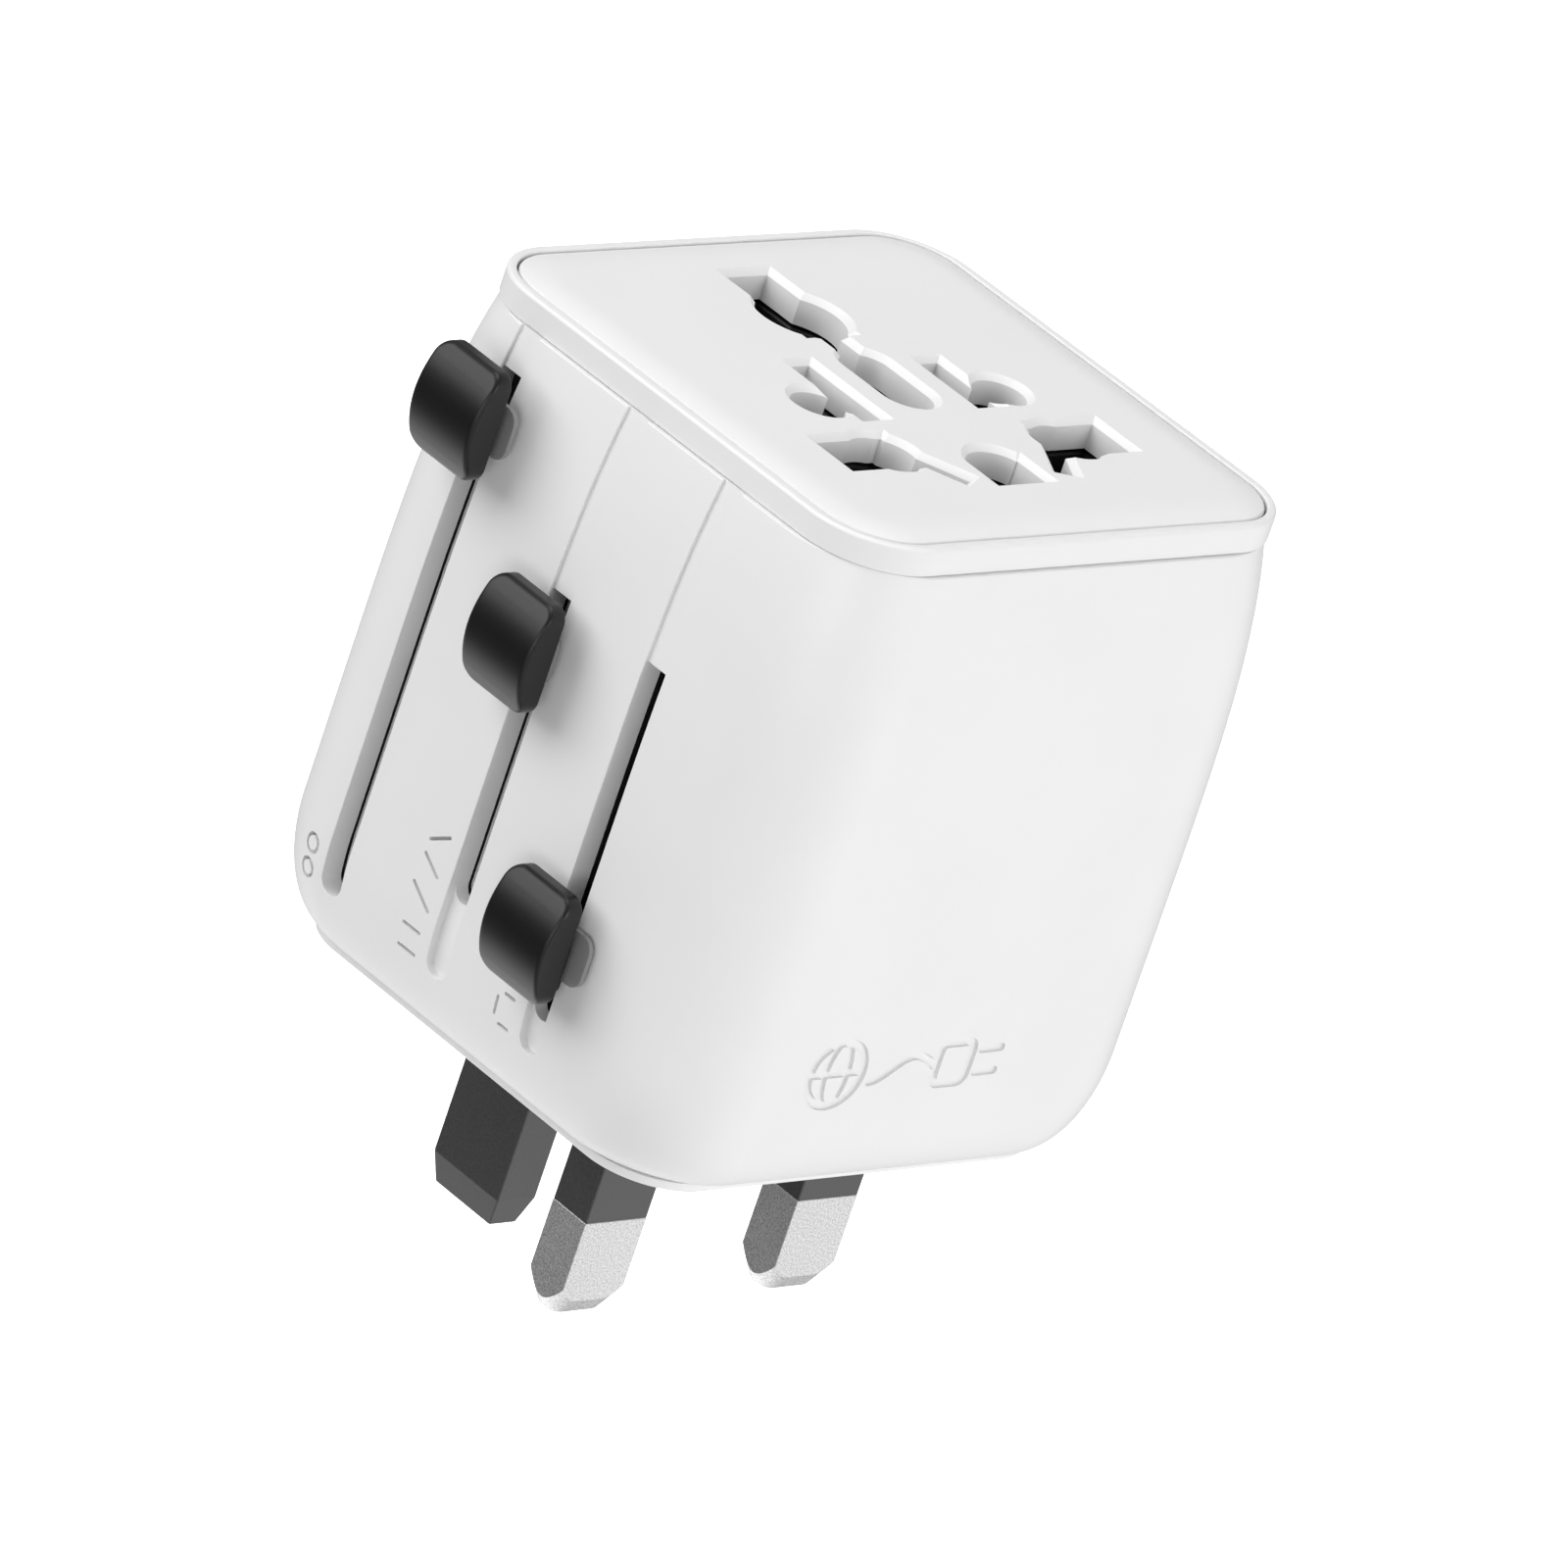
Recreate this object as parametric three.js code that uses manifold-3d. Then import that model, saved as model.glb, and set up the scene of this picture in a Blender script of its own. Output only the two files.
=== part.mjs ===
// Universal travel adapter: a pillowed cube with a multi-standard socket face on top and
// three retractable plugs underneath, each driven by its own side slider.
//
// Frame, in millimetres: the origin is the centre of the plug face, +Z points out of the
// socket face, -Y is the plain front and -X is the slider face. The British pins are out,
// the other two plugs are drawn in.

import * as THREE from 'three';
import { mergeVertices } from 'three/addons/utils/BufferGeometryUtils.js';
import Module from 'manifold-3d';

const wasm = await Module();
wasm.setup();

// ---------------------------------------------------------------- driving dimensions

const GAP = 0.3; // clearance between neighbouring pieces
const FIT = 0.2; // clearance between a pin and its sleeve
const WALL = 2.0; // shell wall

const PARTING_Z = 53.65; // shell meets rim
const RIM = { hx: 23.14, hy: 23.8, r: 7, top: 55.88, soften: 0.3 };
const RIM_SPIGOT = { hx: 21.2, hy: 21.75, r: 5.2, depth: 2.4 }; // part of the rim inside the shell
const PLATE = { hx: 22.0, hy: 22.7, r: 5.4, under: 54.65, top: 56.2 };
const SHELL = { hx: 25.4, hy: 25.45, r: 8.8, topDropX: 1.8, topDropY: 1.3, footDrop: 3.0 };
const FOOT_Z = 1.0; // lowest edge of the shell
const FOOT_RISE = 9.0; // height over which the shell curves in to its foot
const CROWN_Z = 15.0; // height from which the shell narrows upward
const BASE = { hx: 22.05, hy: 21.83, r: 6.4, flange: 0.7, top: 2.0 };
const BASE_SPIGOT = { hx: 20.1, hy: 19.95, r: 4.6 }; // part of the base plate inside the shell

const CARRIER = { hx: 18.2, hy: 20.1, r: 3.5, z0: 47.2, z1: PARTING_Z - 0.35 };
const SOCKET_FLOOR = CARRIER.z0 - 0.3; // top of the socket contacts
const CONTACT_Z = 36.0; // bottom of the socket contacts


// The socket openings in plan. Each x is for the live side, and the neutral side mirrors it.
const HOLES = {
  ukEarth: { y: 12.7, hx: 2.35, hy: 5.0, roundY: 10.9, roundR: 3.7, neckY: 6.4, neckHx: 1.05, neckHy: 2.2 },
  centre: { y: 0.75, hx: 2.25, hy: 4.55, r: 2.2 },
  usEarth: { y: -13.6, hx: 2.65, hy: 1.8, roundY: -12.65, roundR: 2.65 },
  flat: { x: 6.36, y: -0.45, hx: 1.15, hyLive: 3.65, hyNeutral: 4.45 },
  round: { x: 9.47, y: -1.95, r: 2.22 },
  ukPin: { x: 11.1, y: -9.55, hx: 3.55, hy: 2.35, roundX: 9.5, roundY: -9.73, roundR: 2.85 },
  slanted: { x: 7.2, y: -11.1, hx: 0.75, hy: 4.1, angle: Math.PI / 6 },
};

const CARRIAGE_Z0 = BASE.top + GAP; // a carriage rests just above the base plate
const CARRIAGE_Z1 = CARRIAGE_Z0 + 4.0;
const ARM_X0 = -21.2;
const ARM_X1 = -18.6;
const ARM_HALF = 1.4;
const GUIDE = { x: -21.5, z0: 3.5, z1: 50.5 }; // inner face and ends of the slider guides

const SLOT_HALF = 1.15; // half width of a slider slot
const TONGUE = { half: 0.9, height: 2.4, tip: -27.3 };
const SHOE_X = -22.7; // outer face of the shoe at the foot of a tongue
const KNOB = { hy: 3.55, hz: 4.55, back: -27.3, edge: -28.6, crown: -30.1, round: 0.2, r: 1.3 };
const NECK = { hy: 1.9, wall: 0.9 }; // how far the neck reaches above and below the tongue
const COLLAR = { x0: -26.15, x1: -25.65, height: 4.3, drop: 0.65, r: 1.2 };

// One entry for each slider: slot position, open stretch, shallow stretch below it, knob
// height with the plug out, how far the cap sits aside of the slot, tongue below the knob,
// travel, collar half width, and how far the shoe reaches above the tongue's middle.
const UK = {
  y: -9.15, z0: 8.3, z1: 38.35, low: 5.5, knob: 15.7, aside: 0.55,
  drop: 1.8, travel: 23.0, collar: 3.85, shoe: 1.2,
};
const US = {
  y: 2.15, z0: 11.9, z1: 38.35, low: 5.5, knob: 16.6, aside: 0.2,
  drop: 0.2, travel: 17.8, collar: 2.2, shoe: 3.9,
};
const EU = {
  y: 15.05, z0: 5.4, z1: 50.2, low: 5.4, knob: 11.25, aside: -0.1,
  drop: 0.35, travel: 36.0, collar: 3.9, shoe: 3.0,
};
const GROOVE_DEPTH = 0.3;
const LOW_DEPTH = 0.75;

const UK_PIN = { x: 11.1, y: -8.8, hx: 3.175, hy: 2.0, tip: -17.9, sleeveEnd: -9.4 };
const UK_CORE = { hx: 2.0, hy: 1.1 }; // slimmer part of a British pin inside its sleeve
const UK_EARTH = { y: 13.4, hx: 2.0, hy: 4.0, tip: -22.8, stem: 1.3 };
const US_BLADE = { x: 6.35, hx: 0.75, hy: 3.175, tip: -16.5, stem: 1.6, twist: Math.PI / 6 };
const EU_PIN = { x: 9.5, y: 6.3, r: 2.0, tip: -19.0, sleeveEnd: -9.5, core: 1.2, sleeve: 1.85 };

const BOSS = { x: 12.5, y: 18.0, r: 2.0, z1: 14.0, wallY: 24.0, ribHalf: 0.6, ribZ0: 5.0 };
const SCREW = { head: 1.7, shank: 0.8, headZ0: 0.25, headZ1: 0.95, tip: 10.0, recess: 0.35 };
const CROSS = { half: 0.9, width: 0.18 }; // recess in a screw head
const FUSE = { y: -18.9, z: 26.0, r: 2.5, tube: 2.2, inner: 5.0, outer: 10.0 };
const FUSE_CLIP = { play: 0.3, thickness: 0.5, half: 1.6, mouth: 0.7 };
const FUSE_BOARD = { y0: -15.2, y1: -14.4, hx: 18.0, z0: 3.0, z1: 33.0 };

// The stamped conductors: sheet thickness, and where each strip of a contact runs in plan.
const SHEET = 0.6;
const CONTACT = { spine: 15.2, tip: 8.2, hook: 8.0, leaves: [-12.7, -6.9], top: 0.7, end: 3.0 };
const BUSBAR = { x0: 9.0, x1: 13.4, y0: -13.5, y1: -13.0 };
const RAIL_Z0 = 3.0;

// ------------------------------------------------------------------------- materials

const plastic = (color, roughness) => new THREE.MeshStandardMaterial({ color, roughness, metalness: 0 });
const metal = (color, roughness) => new THREE.MeshStandardMaterial({ color, roughness, metalness: 1 });

const WHITE = plastic(0xf0f0ef, 0.35);
const BLACK = plastic(0x1d1d1f, 0.45);
const SLEEVE = plastic(0x2b2b2d, 0.6);
const NICKEL = metal(0xb9b8b4, 0.4);
const BRASS = metal(0xc8a04a, 0.35);
const STEEL = metal(0x9a9da1, 0.3);
const CERAMIC = plastic(0xe9e4d6, 0.5);
const BOARD = plastic(0x8a6a3c, 0.7);

// --------------------------------------------------------------------------- helpers

// A closed three.js geometry as a solid for joining and cutting.
function solid(geometry) {
  const bare = geometry.index ? geometry.toNonIndexed() : geometry.clone();
  bare.deleteAttribute('normal');
  bare.deleteAttribute('uv');
  const merged = mergeVertices(bare, 1e-4);
  const mesh = new wasm.Mesh({
    numProp: 3,
    vertProperties: Float32Array.from(merged.attributes.position.array),
    triVerts: Uint32Array.from(merged.index.array),
  });
  return new wasm.Manifold(mesh);
}

function geometryOf(manifold) {
  const mesh = manifold.getMesh();
  const geometry = new THREE.BufferGeometry();
  geometry.setAttribute('position', new THREE.BufferAttribute(mesh.vertProperties, 3));
  geometry.setIndex(new THREE.BufferAttribute(mesh.triVerts, 1));
  geometry.computeVertexNormals();
  return geometry;
}

const ordered = (a, b) => [Math.min(a, b), Math.max(a, b)];
const join = (...pieces) => pieces.reduce((a, b) => a.add(b));
const cut = (body, ...tools) => tools.reduce((a, b) => a.subtract(b), body);

function box(x0, x1, y0, y1, z0, z1) {
  const geometry = new THREE.BoxGeometry(x1 - x0, y1 - y0, z1 - z0);
  geometry.translate((x0 + x1) / 2, (y0 + y1) / 2, (z0 + z1) / 2);
  return solid(geometry);
}

function cylinder(x, y, r, z0, z1, segments = 18) {
  const geometry = new THREE.CylinderGeometry(r, r, z1 - z0, segments);
  geometry.rotateX(Math.PI / 2);
  geometry.translate(x, y, (z0 + z1) / 2);
  return solid(geometry);
}

function outline(points) {
  return new THREE.Shape(points.map(([x, y]) => new THREE.Vector2(x, y)));
}

function roundedRect(cx, cy, hx, hy, r) {
  const shape = new THREE.Shape();
  shape.moveTo(cx + hx, cy - hy + r);
  shape.lineTo(cx + hx, cy + hy - r);
  shape.absarc(cx + hx - r, cy + hy - r, r, 0, Math.PI / 2, false);
  shape.absarc(cx - hx + r, cy + hy - r, r, Math.PI / 2, Math.PI, false);
  shape.absarc(cx - hx + r, cy - hy + r, r, Math.PI, Math.PI * 1.5, false);
  shape.absarc(cx + hx - r, cy - hy + r, r, Math.PI * 1.5, Math.PI * 2, false);
  return shape;
}

function rectangle(cx, cy, hx, hy) {
  return outline([[cx - hx, cy - hy], [cx + hx, cy - hy], [cx + hx, cy + hy], [cx - hx, cy + hy]]);
}

function extruded(shape, depth, curveSegments) {
  return new THREE.ExtrudeGeometry(shape, { depth, bevelEnabled: false, curveSegments });
}

// A plan outline raised from z0 to z1.
function prism(shape, z0, z1, segments = 8) {
  const geometry = extruded(shape, z1 - z0, segments);
  geometry.translate(0, 0, z0);
  return solid(geometry);
}

// An outline in Y and Z, swept along X.
function prismAlongX(shape, x0, x1, segments = 8) {
  const geometry = extruded(shape, x1 - x0, segments);
  const basis = new THREE.Matrix4().makeBasis(
    new THREE.Vector3(0, 1, 0), new THREE.Vector3(0, 0, 1), new THREE.Vector3(1, 0, 0));
  geometry.applyMatrix4(basis);
  geometry.translate(x0, 0, 0);
  return solid(geometry);
}

// An outline in X and Z, swept along Y.
function prismAlongY(shape, y0, y1, segments = 8) {
  const geometry = extruded(shape, y1 - y0, segments);
  const basis = new THREE.Matrix4().makeBasis(
    new THREE.Vector3(1, 0, 0), new THREE.Vector3(0, 0, 1), new THREE.Vector3(0, -1, 0));
  geometry.applyMatrix4(basis);
  geometry.translate(0, y1, 0);
  return solid(geometry);
}

// A closed skin through a stack of rounded rectangles, each { z, hx, hy, r }.
function loft(levels, cornerSteps = 6) {
  const ring = ({ z, hx, hy, r }) => {
    const points = [];
    for (let corner = 0; corner < 4; corner += 1) {
      const cx = (corner === 0 || corner === 3 ? 1 : -1) * (hx - r);
      const cy = (corner < 2 ? 1 : -1) * (hy - r);
      for (let step = 0; step <= cornerSteps; step += 1) {
        const angle = (corner + step / cornerSteps) * Math.PI / 2;
        points.push([cx + r * Math.cos(angle), cy + r * Math.sin(angle), z]);
      }
    }
    return points;
  };
  const rings = levels.map(ring);
  const count = rings[0].length;
  const vertices = rings.flat();
  const faces = [];
  for (let level = 0; level + 1 < rings.length; level += 1) {
    for (let i = 0; i < count; i += 1) {
      const j = (i + 1) % count;
      const a = level * count + i;
      const b = level * count + j;
      faces.push(a, b, b + count, a, b + count, a + count);
    }
  }
  const last = (rings.length - 1) * count;
  for (let i = 1; i + 1 < count; i += 1) {
    faces.push(0, i + 1, i);
    faces.push(last, last + i, last + i + 1);
  }
  const geometry = new THREE.BufferGeometry();
  geometry.setAttribute('position', new THREE.Float32BufferAttribute(vertices.flat(), 3));
  geometry.setIndex(faces);
  return solid(geometry);
}

// Half width of the shell at height z: full at the waist, narrowing to the rim above
// and curving in as a quarter ellipse to the foot below.
function shellHalf(z, full, topDrop) {
  const up = Math.max(0, (z - CROWN_Z) / (PARTING_Z - GAP - CROWN_Z));
  const down = Math.min(1, Math.max(0, (FOOT_Z + FOOT_RISE - z) / FOOT_RISE));
  return full - topDrop * up ** 4.5 - SHELL.footDrop * (1 - Math.sqrt(1 - down * down));
}

// The pillowed body, drawn in by `inset`, between its foot and its parting line.
function pillow(inset, z0, z1) {
  const heights = [];
  for (let step = 0; step < 7; step += 1) {
    heights.push(FOOT_Z + FOOT_RISE * (1 - Math.cos(step / 7 * Math.PI / 2)));
  }
  heights.push(FOOT_Z + FOOT_RISE);
  for (const z of [20, 28, 34, 39, 43, 46.5, 49.5, 51.8]) {
    heights.push(z);
  }
  heights.push(PARTING_Z - GAP);
  const level = (z) => ({
    z,
    hx: shellHalf(z, SHELL.hx, SHELL.topDropX) - inset,
    hy: shellHalf(z, SHELL.hy, SHELL.topDropY) - inset,
    r: SHELL.r - inset,
  });
  const levels = heights.map(level);
  levels[0].z = z0;
  levels[levels.length - 1].z = z1;
  return loft(levels);
}

function mesh(name, shape, material) {
  const node = new THREE.Mesh(geometryOf(shape), material);
  node.name = name;
  return node;
}

// A turned solid: profile points are [radius, z] and run from axis to axis.
function turned(profile, x, y, segments = 16) {
  const geometry = new THREE.LatheGeometry(profile.map(([r, z]) => new THREE.Vector2(r, z)), segments);
  geometry.rotateX(Math.PI / 2);
  geometry.translate(x, y, 0);
  return solid(geometry);
}

// ------------------------------------------------------------------ socket openings

// Every hole of the socket face, as one tool running from z0 to z1. Side +1 is live.
function socketHoles(z0, z1) {
  const { ukEarth, centre, usEarth, flat, round, ukPin, slanted } = HOLES;
  const hole = (shape) => prism(shape, z0, z1, 5);
  const square = (x, y, hx, hy) => hole(rectangle(x, y, hx, hy));
  const circle = (x, y, r) => cylinder(x, y, r, z0, z1);
  const middle = [
    square(0, ukEarth.y, ukEarth.hx, ukEarth.hy),
    circle(0, ukEarth.roundY, ukEarth.roundR),
    square(0, ukEarth.neckY, ukEarth.neckHx, ukEarth.neckHy),
    hole(roundedRect(0, centre.y, centre.hx, centre.hy, centre.r)),
    square(0, usEarth.y, usEarth.hx, usEarth.hy),
    circle(0, usEarth.roundY, usEarth.roundR),
  ];
  const sides = [-1, 1].flatMap((side) => {
    const slot = new THREE.BoxGeometry(2 * slanted.hx, 2 * slanted.hy, z1 - z0);
    slot.rotateZ(-side * slanted.angle);
    slot.translate(side * slanted.x, slanted.y, (z0 + z1) / 2);
    return [
      square(side * flat.x, flat.y, flat.hx, side < 0 ? flat.hyNeutral : flat.hyLive),
      circle(side * round.x, round.y, round.r),
      square(side * ukPin.x, ukPin.y, ukPin.hx, ukPin.hy),
      circle(side * ukPin.roundX, ukPin.roundY, ukPin.roundR),
      solid(slot),
    ];
  });
  return join(...middle, ...sides);
}

// --------------------------------------------------------------------------- housing

// The cutter for one slider slot: a square top, a round bottom.
function slotTool(y, z0, z1, x0, x1) {
  const shape = new THREE.Shape();
  shape.moveTo(y + SLOT_HALF, z1);
  shape.lineTo(y - SLOT_HALF, z1);
  shape.absarc(y, z0 + SLOT_HALF, SLOT_HALF, Math.PI, Math.PI * 2, false);
  return prismAlongX(shape, x0, x1, 8);
}

// The four posts that the base screws drive into: each corner as [name, x side, y side].
const CORNERS = [['front_left', -1, -1], ['front_right', 1, -1], ['back_left', -1, 1], ['back_right', 1, 1]];

function screwPost(sx, sy) {
  const x = sx * BOSS.x;
  const y = sy * BOSS.y;
  const rib = box(x - BOSS.ribHalf, x + BOSS.ribHalf, ...ordered(y, sy * BOSS.wallY), BOSS.ribZ0, BOSS.z1);
  return join(cylinder(x, y, BOSS.r, CARRIAGE_Z0, BOSS.z1, 16), rib);
}

function screwHole(sx, sy, z0, z1) {
  return cylinder(sx * BOSS.x, sy * BOSS.y, SCREW.shank + GAP, z0, z1, 12);
}

function bodyShell() {
  const outside = -30;
  const inside = -20;
  const beyond = PARTING_Z + 1;
  const posts = CORNERS.map(([, sx, sy]) => screwPost(sx, sy));
  const pilots = CORNERS.map(([, sx, sy]) => screwHole(sx, sy, 0, SCREW.tip + 1));
  const slots = [UK, US, EU].map((s) => slotTool(s.y, s.z0, s.z1, outside, inside));
  const grooves = [UK, US, EU].map((s) => cut(
    box(outside, inside, s.y - SLOT_HALF, s.y + SLOT_HALF, s.z1 - 1, PARTING_Z),
    pillow(GROOVE_DEPTH, FOOT_Z, beyond)));
  const lows = [UK, US].map((s) => cut(
    slotTool(s.y, s.low, s.z0 + 2, outside, inside), pillow(LOW_DEPTH, FOOT_Z, beyond)));
  const walls = cut(pillow(0, FOOT_Z, PARTING_Z - GAP), pillow(WALL, FOOT_Z - 1, beyond));
  return cut(join(walls, ...posts), ...pilots, ...slots, ...grooves, ...lows);
}

function topRim() {
  const { hx, hy, r, top, soften } = RIM;
  const band = loft([
    { z: PARTING_Z, hx, hy, r },
    { z: top - soften, hx, hy, r },
    { z: top, hx: hx - soften, hy: hy - soften, r: r - soften },
  ]);
  const spigotPlan = roundedRect(0, 0, RIM_SPIGOT.hx, RIM_SPIGOT.hy, RIM_SPIGOT.r);
  const spigot = prism(spigotPlan, PARTING_Z - RIM_SPIGOT.depth, PARTING_Z + 0.1);
  const wellPlan = roundedRect(0, 0, PLATE.hx + GAP, PLATE.hy + GAP, PLATE.r + GAP);
  const well = prism(wellPlan, PLATE.under - GAP, top + 1);
  const borePlan = roundedRect(0, 0, CARRIER.hx + GAP, CARRIER.hy + GAP, CARRIER.r);
  return cut(join(band, spigot), well, prism(borePlan, PARTING_Z - 4, top));
}

function socketPlate() {
  const { hx, hy, r, under, top } = PLATE;
  const level = (z, inset) => ({ z, hx: hx - inset, hy: hy - inset, r: r - inset });
  const slab = loft([level(under, 0), level(top - 0.7, 0), level(top - 0.25, 0.2), level(top, 0.9)]);
  const raftPlan = roundedRect(0, 0, CARRIER.hx, CARRIER.hy, CARRIER.r - GAP);
  const raft = prism(raftPlan, PARTING_Z, under + 0.1);
  return cut(join(slab, raft), socketHoles(PARTING_Z - 1, top + 1));
}

function contactCarrier() {
  const plan = roundedRect(0, 0, CARRIER.hx, CARRIER.hy, CARRIER.r - GAP);
  const block = prism(plan, CARRIER.z0, CARRIER.z1);
  return cut(block, socketHoles(CARRIER.z0 - 1, CARRIER.z1 + 1));
}

// The base plate: a thin flange under the shell, a spigot inside it, and the holes that
// the three plugs come out of. The blade holes are wide enough for the blades to twist,
// with a round recess above for the foot of each blade's stem.
function basePlate() {
  const beyond = BASE.top + 1;
  const flange = prism(roundedRect(0, 0, BASE.hx, BASE.hy, BASE.r), 0, BASE.flange);
  const spigotPlan = roundedRect(0, 0, BASE_SPIGOT.hx, BASE_SPIGOT.hy, BASE_SPIGOT.r);
  const spigot = prism(spigotPlan, BASE.flange - 0.1, BASE.top);
  const through = (x, y, hx, hy) => prism(roundedRect(x, y, hx + GAP, hy + GAP, GAP), -1, beyond, 6);
  const holes = [through(0, UK_EARTH.y, UK_EARTH.hx, UK_EARTH.hy)];
  for (const side of [-1, 1]) {
    holes.push(through(side * UK_PIN.x, UK_PIN.y, UK_PIN.hx, UK_PIN.hy));
    holes.push(cylinder(side * EU_PIN.x, EU_PIN.y, EU_PIN.r + GAP, -1, beyond));
    holes.push(cylinder(side * US_BLADE.x, 0, US_BLADE.stem + GAP, BASE.top - 0.5, beyond));
    const turns = 4;
    for (let step = 0; step <= turns; step += 1) {
      const blade = new THREE.BoxGeometry(2 * (US_BLADE.hx + GAP), 2 * (US_BLADE.hy + GAP), BASE.top + 2);
      blade.rotateZ(-side * US_BLADE.twist * step / turns);
      blade.translate(side * US_BLADE.x, 0, BASE.top / 2);
      holes.push(solid(blade));
    }
  }
  for (const [, sx, sy] of CORNERS) {
    holes.push(screwHole(sx, sy, -1, beyond));
    holes.push(cylinder(sx * BOSS.x, sy * BOSS.y, SCREW.head + FIT, -1, SCREW.headZ1 + GAP, 16));
  }
  return cut(join(flange, spigot), ...holes);
}

// A track close behind the shell wall, with a slot for each tongue that runs in it.
function sliderGuide(y0, y1, sliders) {
  const outside = -30;
  const track = box(outside, GUIDE.x, y0, y1, GUIDE.z0, GUIDE.z1);
  const slots = sliders.map((s) => slotTool(s.y, s.z0, s.z1, outside, GUIDE.x + 1));
  return cut(track.intersect(pillow(WALL + GAP, FOOT_Z, PARTING_Z)), ...slots);
}

function baseScrew(x, y) {
  const screw = turned([
    [0, SCREW.headZ0], [SCREW.head, SCREW.headZ0], [SCREW.head, SCREW.headZ1],
    [SCREW.shank, SCREW.headZ1], [SCREW.shank, SCREW.tip - 1], [0, SCREW.tip],
  ], x, y, 12);
  const floor = SCREW.headZ0 + SCREW.recess;
  const cross = join(
    box(x - CROSS.half, x + CROSS.half, y - CROSS.width, y + CROSS.width, 0, floor),
    box(x - CROSS.width, x + CROSS.width, y - CROSS.half, y + CROSS.half, 0, floor));
  return cut(screw, cross);
}

// ------------------------------------------------------------------------ conductors

// A socket contact seen in plan: a spine down the outer side, two leaves that grip a
// British pin, and a hooked leaf for round pins and flat blades. Side +1 is live.
function socketContact(side) {
  const { spine, tip, hook, leaves, top, end } = CONTACT;
  const outer = spine + SHEET;
  const strip = (x0, x1, y0, y1) => box(...ordered(side * x0, side * x1), y0, y1, CONTACT_Z, SOCKET_FLOOR);
  return join(
    strip(spine, outer, leaves[0], top + SHEET),
    ...leaves.map((y) => strip(tip, outer, y, y + SHEET)),
    strip(hook, outer, top, top + SHEET),
    strip(hook, hook + SHEET, top, end));
}

function busbar(side) {
  const ends = ordered(side * BUSBAR.x0, side * BUSBAR.x1);
  return box(...ends, BUSBAR.y0, BUSBAR.y1, RAIL_Z0, CONTACT_Z - GAP);
}

function rail(x0, x1, y0, y1) {
  return box(x0, x1, y0, y1, RAIL_Z0, CONTACT_Z - GAP);
}

function fuseClip(side) {
  const { play, thickness, half, mouth } = FUSE_CLIP;
  const inner = FUSE.r + play;
  const shape = new THREE.Shape();
  shape.absarc(FUSE.y, FUSE.z, inner + thickness, Math.PI + mouth, Math.PI * 3 - mouth, false);
  shape.absarc(FUSE.y, FUSE.z, inner, Math.PI * 3 - mouth, Math.PI + mouth, true);
  shape.closePath();
  const middle = side * (FUSE.inner + FUSE.outer) / 2;
  return prismAlongX(shape, middle - half, middle + half, 12);
}

function fuseCylinder(r, x0, x1) {
  const shape = new THREE.Shape();
  shape.absarc(FUSE.y, FUSE.z, r, 0, Math.PI * 2, false);
  return prismAlongX(shape, x0, x1, 16);
}

// --------------------------------------------------------------------------- sliders

// Every plug is drawn here with its carriage down on the base plate.

// The upright of a carriage, its tongue out to the knob, and the shoe behind the slot.
function arm(slider) {
  const { y } = slider;
  const middle = slider.knob - slider.drop;
  const low = middle - TONGUE.height / 2;
  const high = middle + TONGUE.height / 2;
  const upright = box(ARM_X0, ARM_X1, y - ARM_HALF, y + ARM_HALF, CARRIAGE_Z0, high);
  const tongue = box(TONGUE.tip, ARM_X1, y - TONGUE.half, y + TONGUE.half, low, high);
  const shoe = box(SHOE_X, ARM_X1, y - TONGUE.half, y + TONGUE.half, low, middle + slider.shoe);
  return join(upright, tongue, shoe);
}

// The thumb knob: a flat-backed cap with a crowned face, a neck and a thin collar, with a
// pocket that presses onto the carriage's tongue.
function knob(slider) {
  const zc = slider.knob;
  const yc = slider.y + slider.aside;
  const low = zc - KNOB.hz;
  const high = zc + KNOB.hz;
  const side = new THREE.Shape();
  side.moveTo(KNOB.back, low + KNOB.round);
  side.lineTo(KNOB.back, high - KNOB.round);
  side.quadraticCurveTo(KNOB.back, high, KNOB.back - KNOB.round, high);
  side.lineTo(KNOB.edge + 0.3, high);
  side.quadraticCurveTo(KNOB.edge, high, KNOB.edge - 0.05, high - 0.4);
  side.quadraticCurveTo(2 * KNOB.crown - KNOB.edge, zc, KNOB.edge - 0.05, low + 0.4);
  side.quadraticCurveTo(KNOB.edge, low, KNOB.edge + 0.3, low);
  side.lineTo(KNOB.back - KNOB.round, low);
  side.quadraticCurveTo(KNOB.back, low, KNOB.back, low + KNOB.round);
  const sideways = prismAlongY(side, yc - KNOB.hy, yc + KNOB.hy, 6);
  const face = prismAlongX(roundedRect(yc, zc, KNOB.hy, KNOB.hz, KNOB.r), KNOB.crown - 1, KNOB.back, 4);
  const tongueZ = zc - slider.drop;
  const half = TONGUE.height / 2;
  const neck = box(
    KNOB.back - 0.2, COLLAR.x1, slider.y - NECK.hy, slider.y + NECK.hy,
    tongueZ - half - NECK.wall, tongueZ + half + NECK.wall);
  const collarPlan = roundedRect(slider.y, zc - COLLAR.drop, slider.collar, COLLAR.height / 2, COLLAR.r);
  const collar = prismAlongX(collarPlan, COLLAR.x0, COLLAR.x1, 4);
  const pocket = box(
    TONGUE.tip - GAP, COLLAR.x1 + 1, slider.y - TONGUE.half - FIT, slider.y + TONGUE.half + FIT,
    tongueZ - half - FIT, tongueZ + half + FIT);
  return cut(join(sideways.intersect(face), neck, collar), pocket);
}

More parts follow.
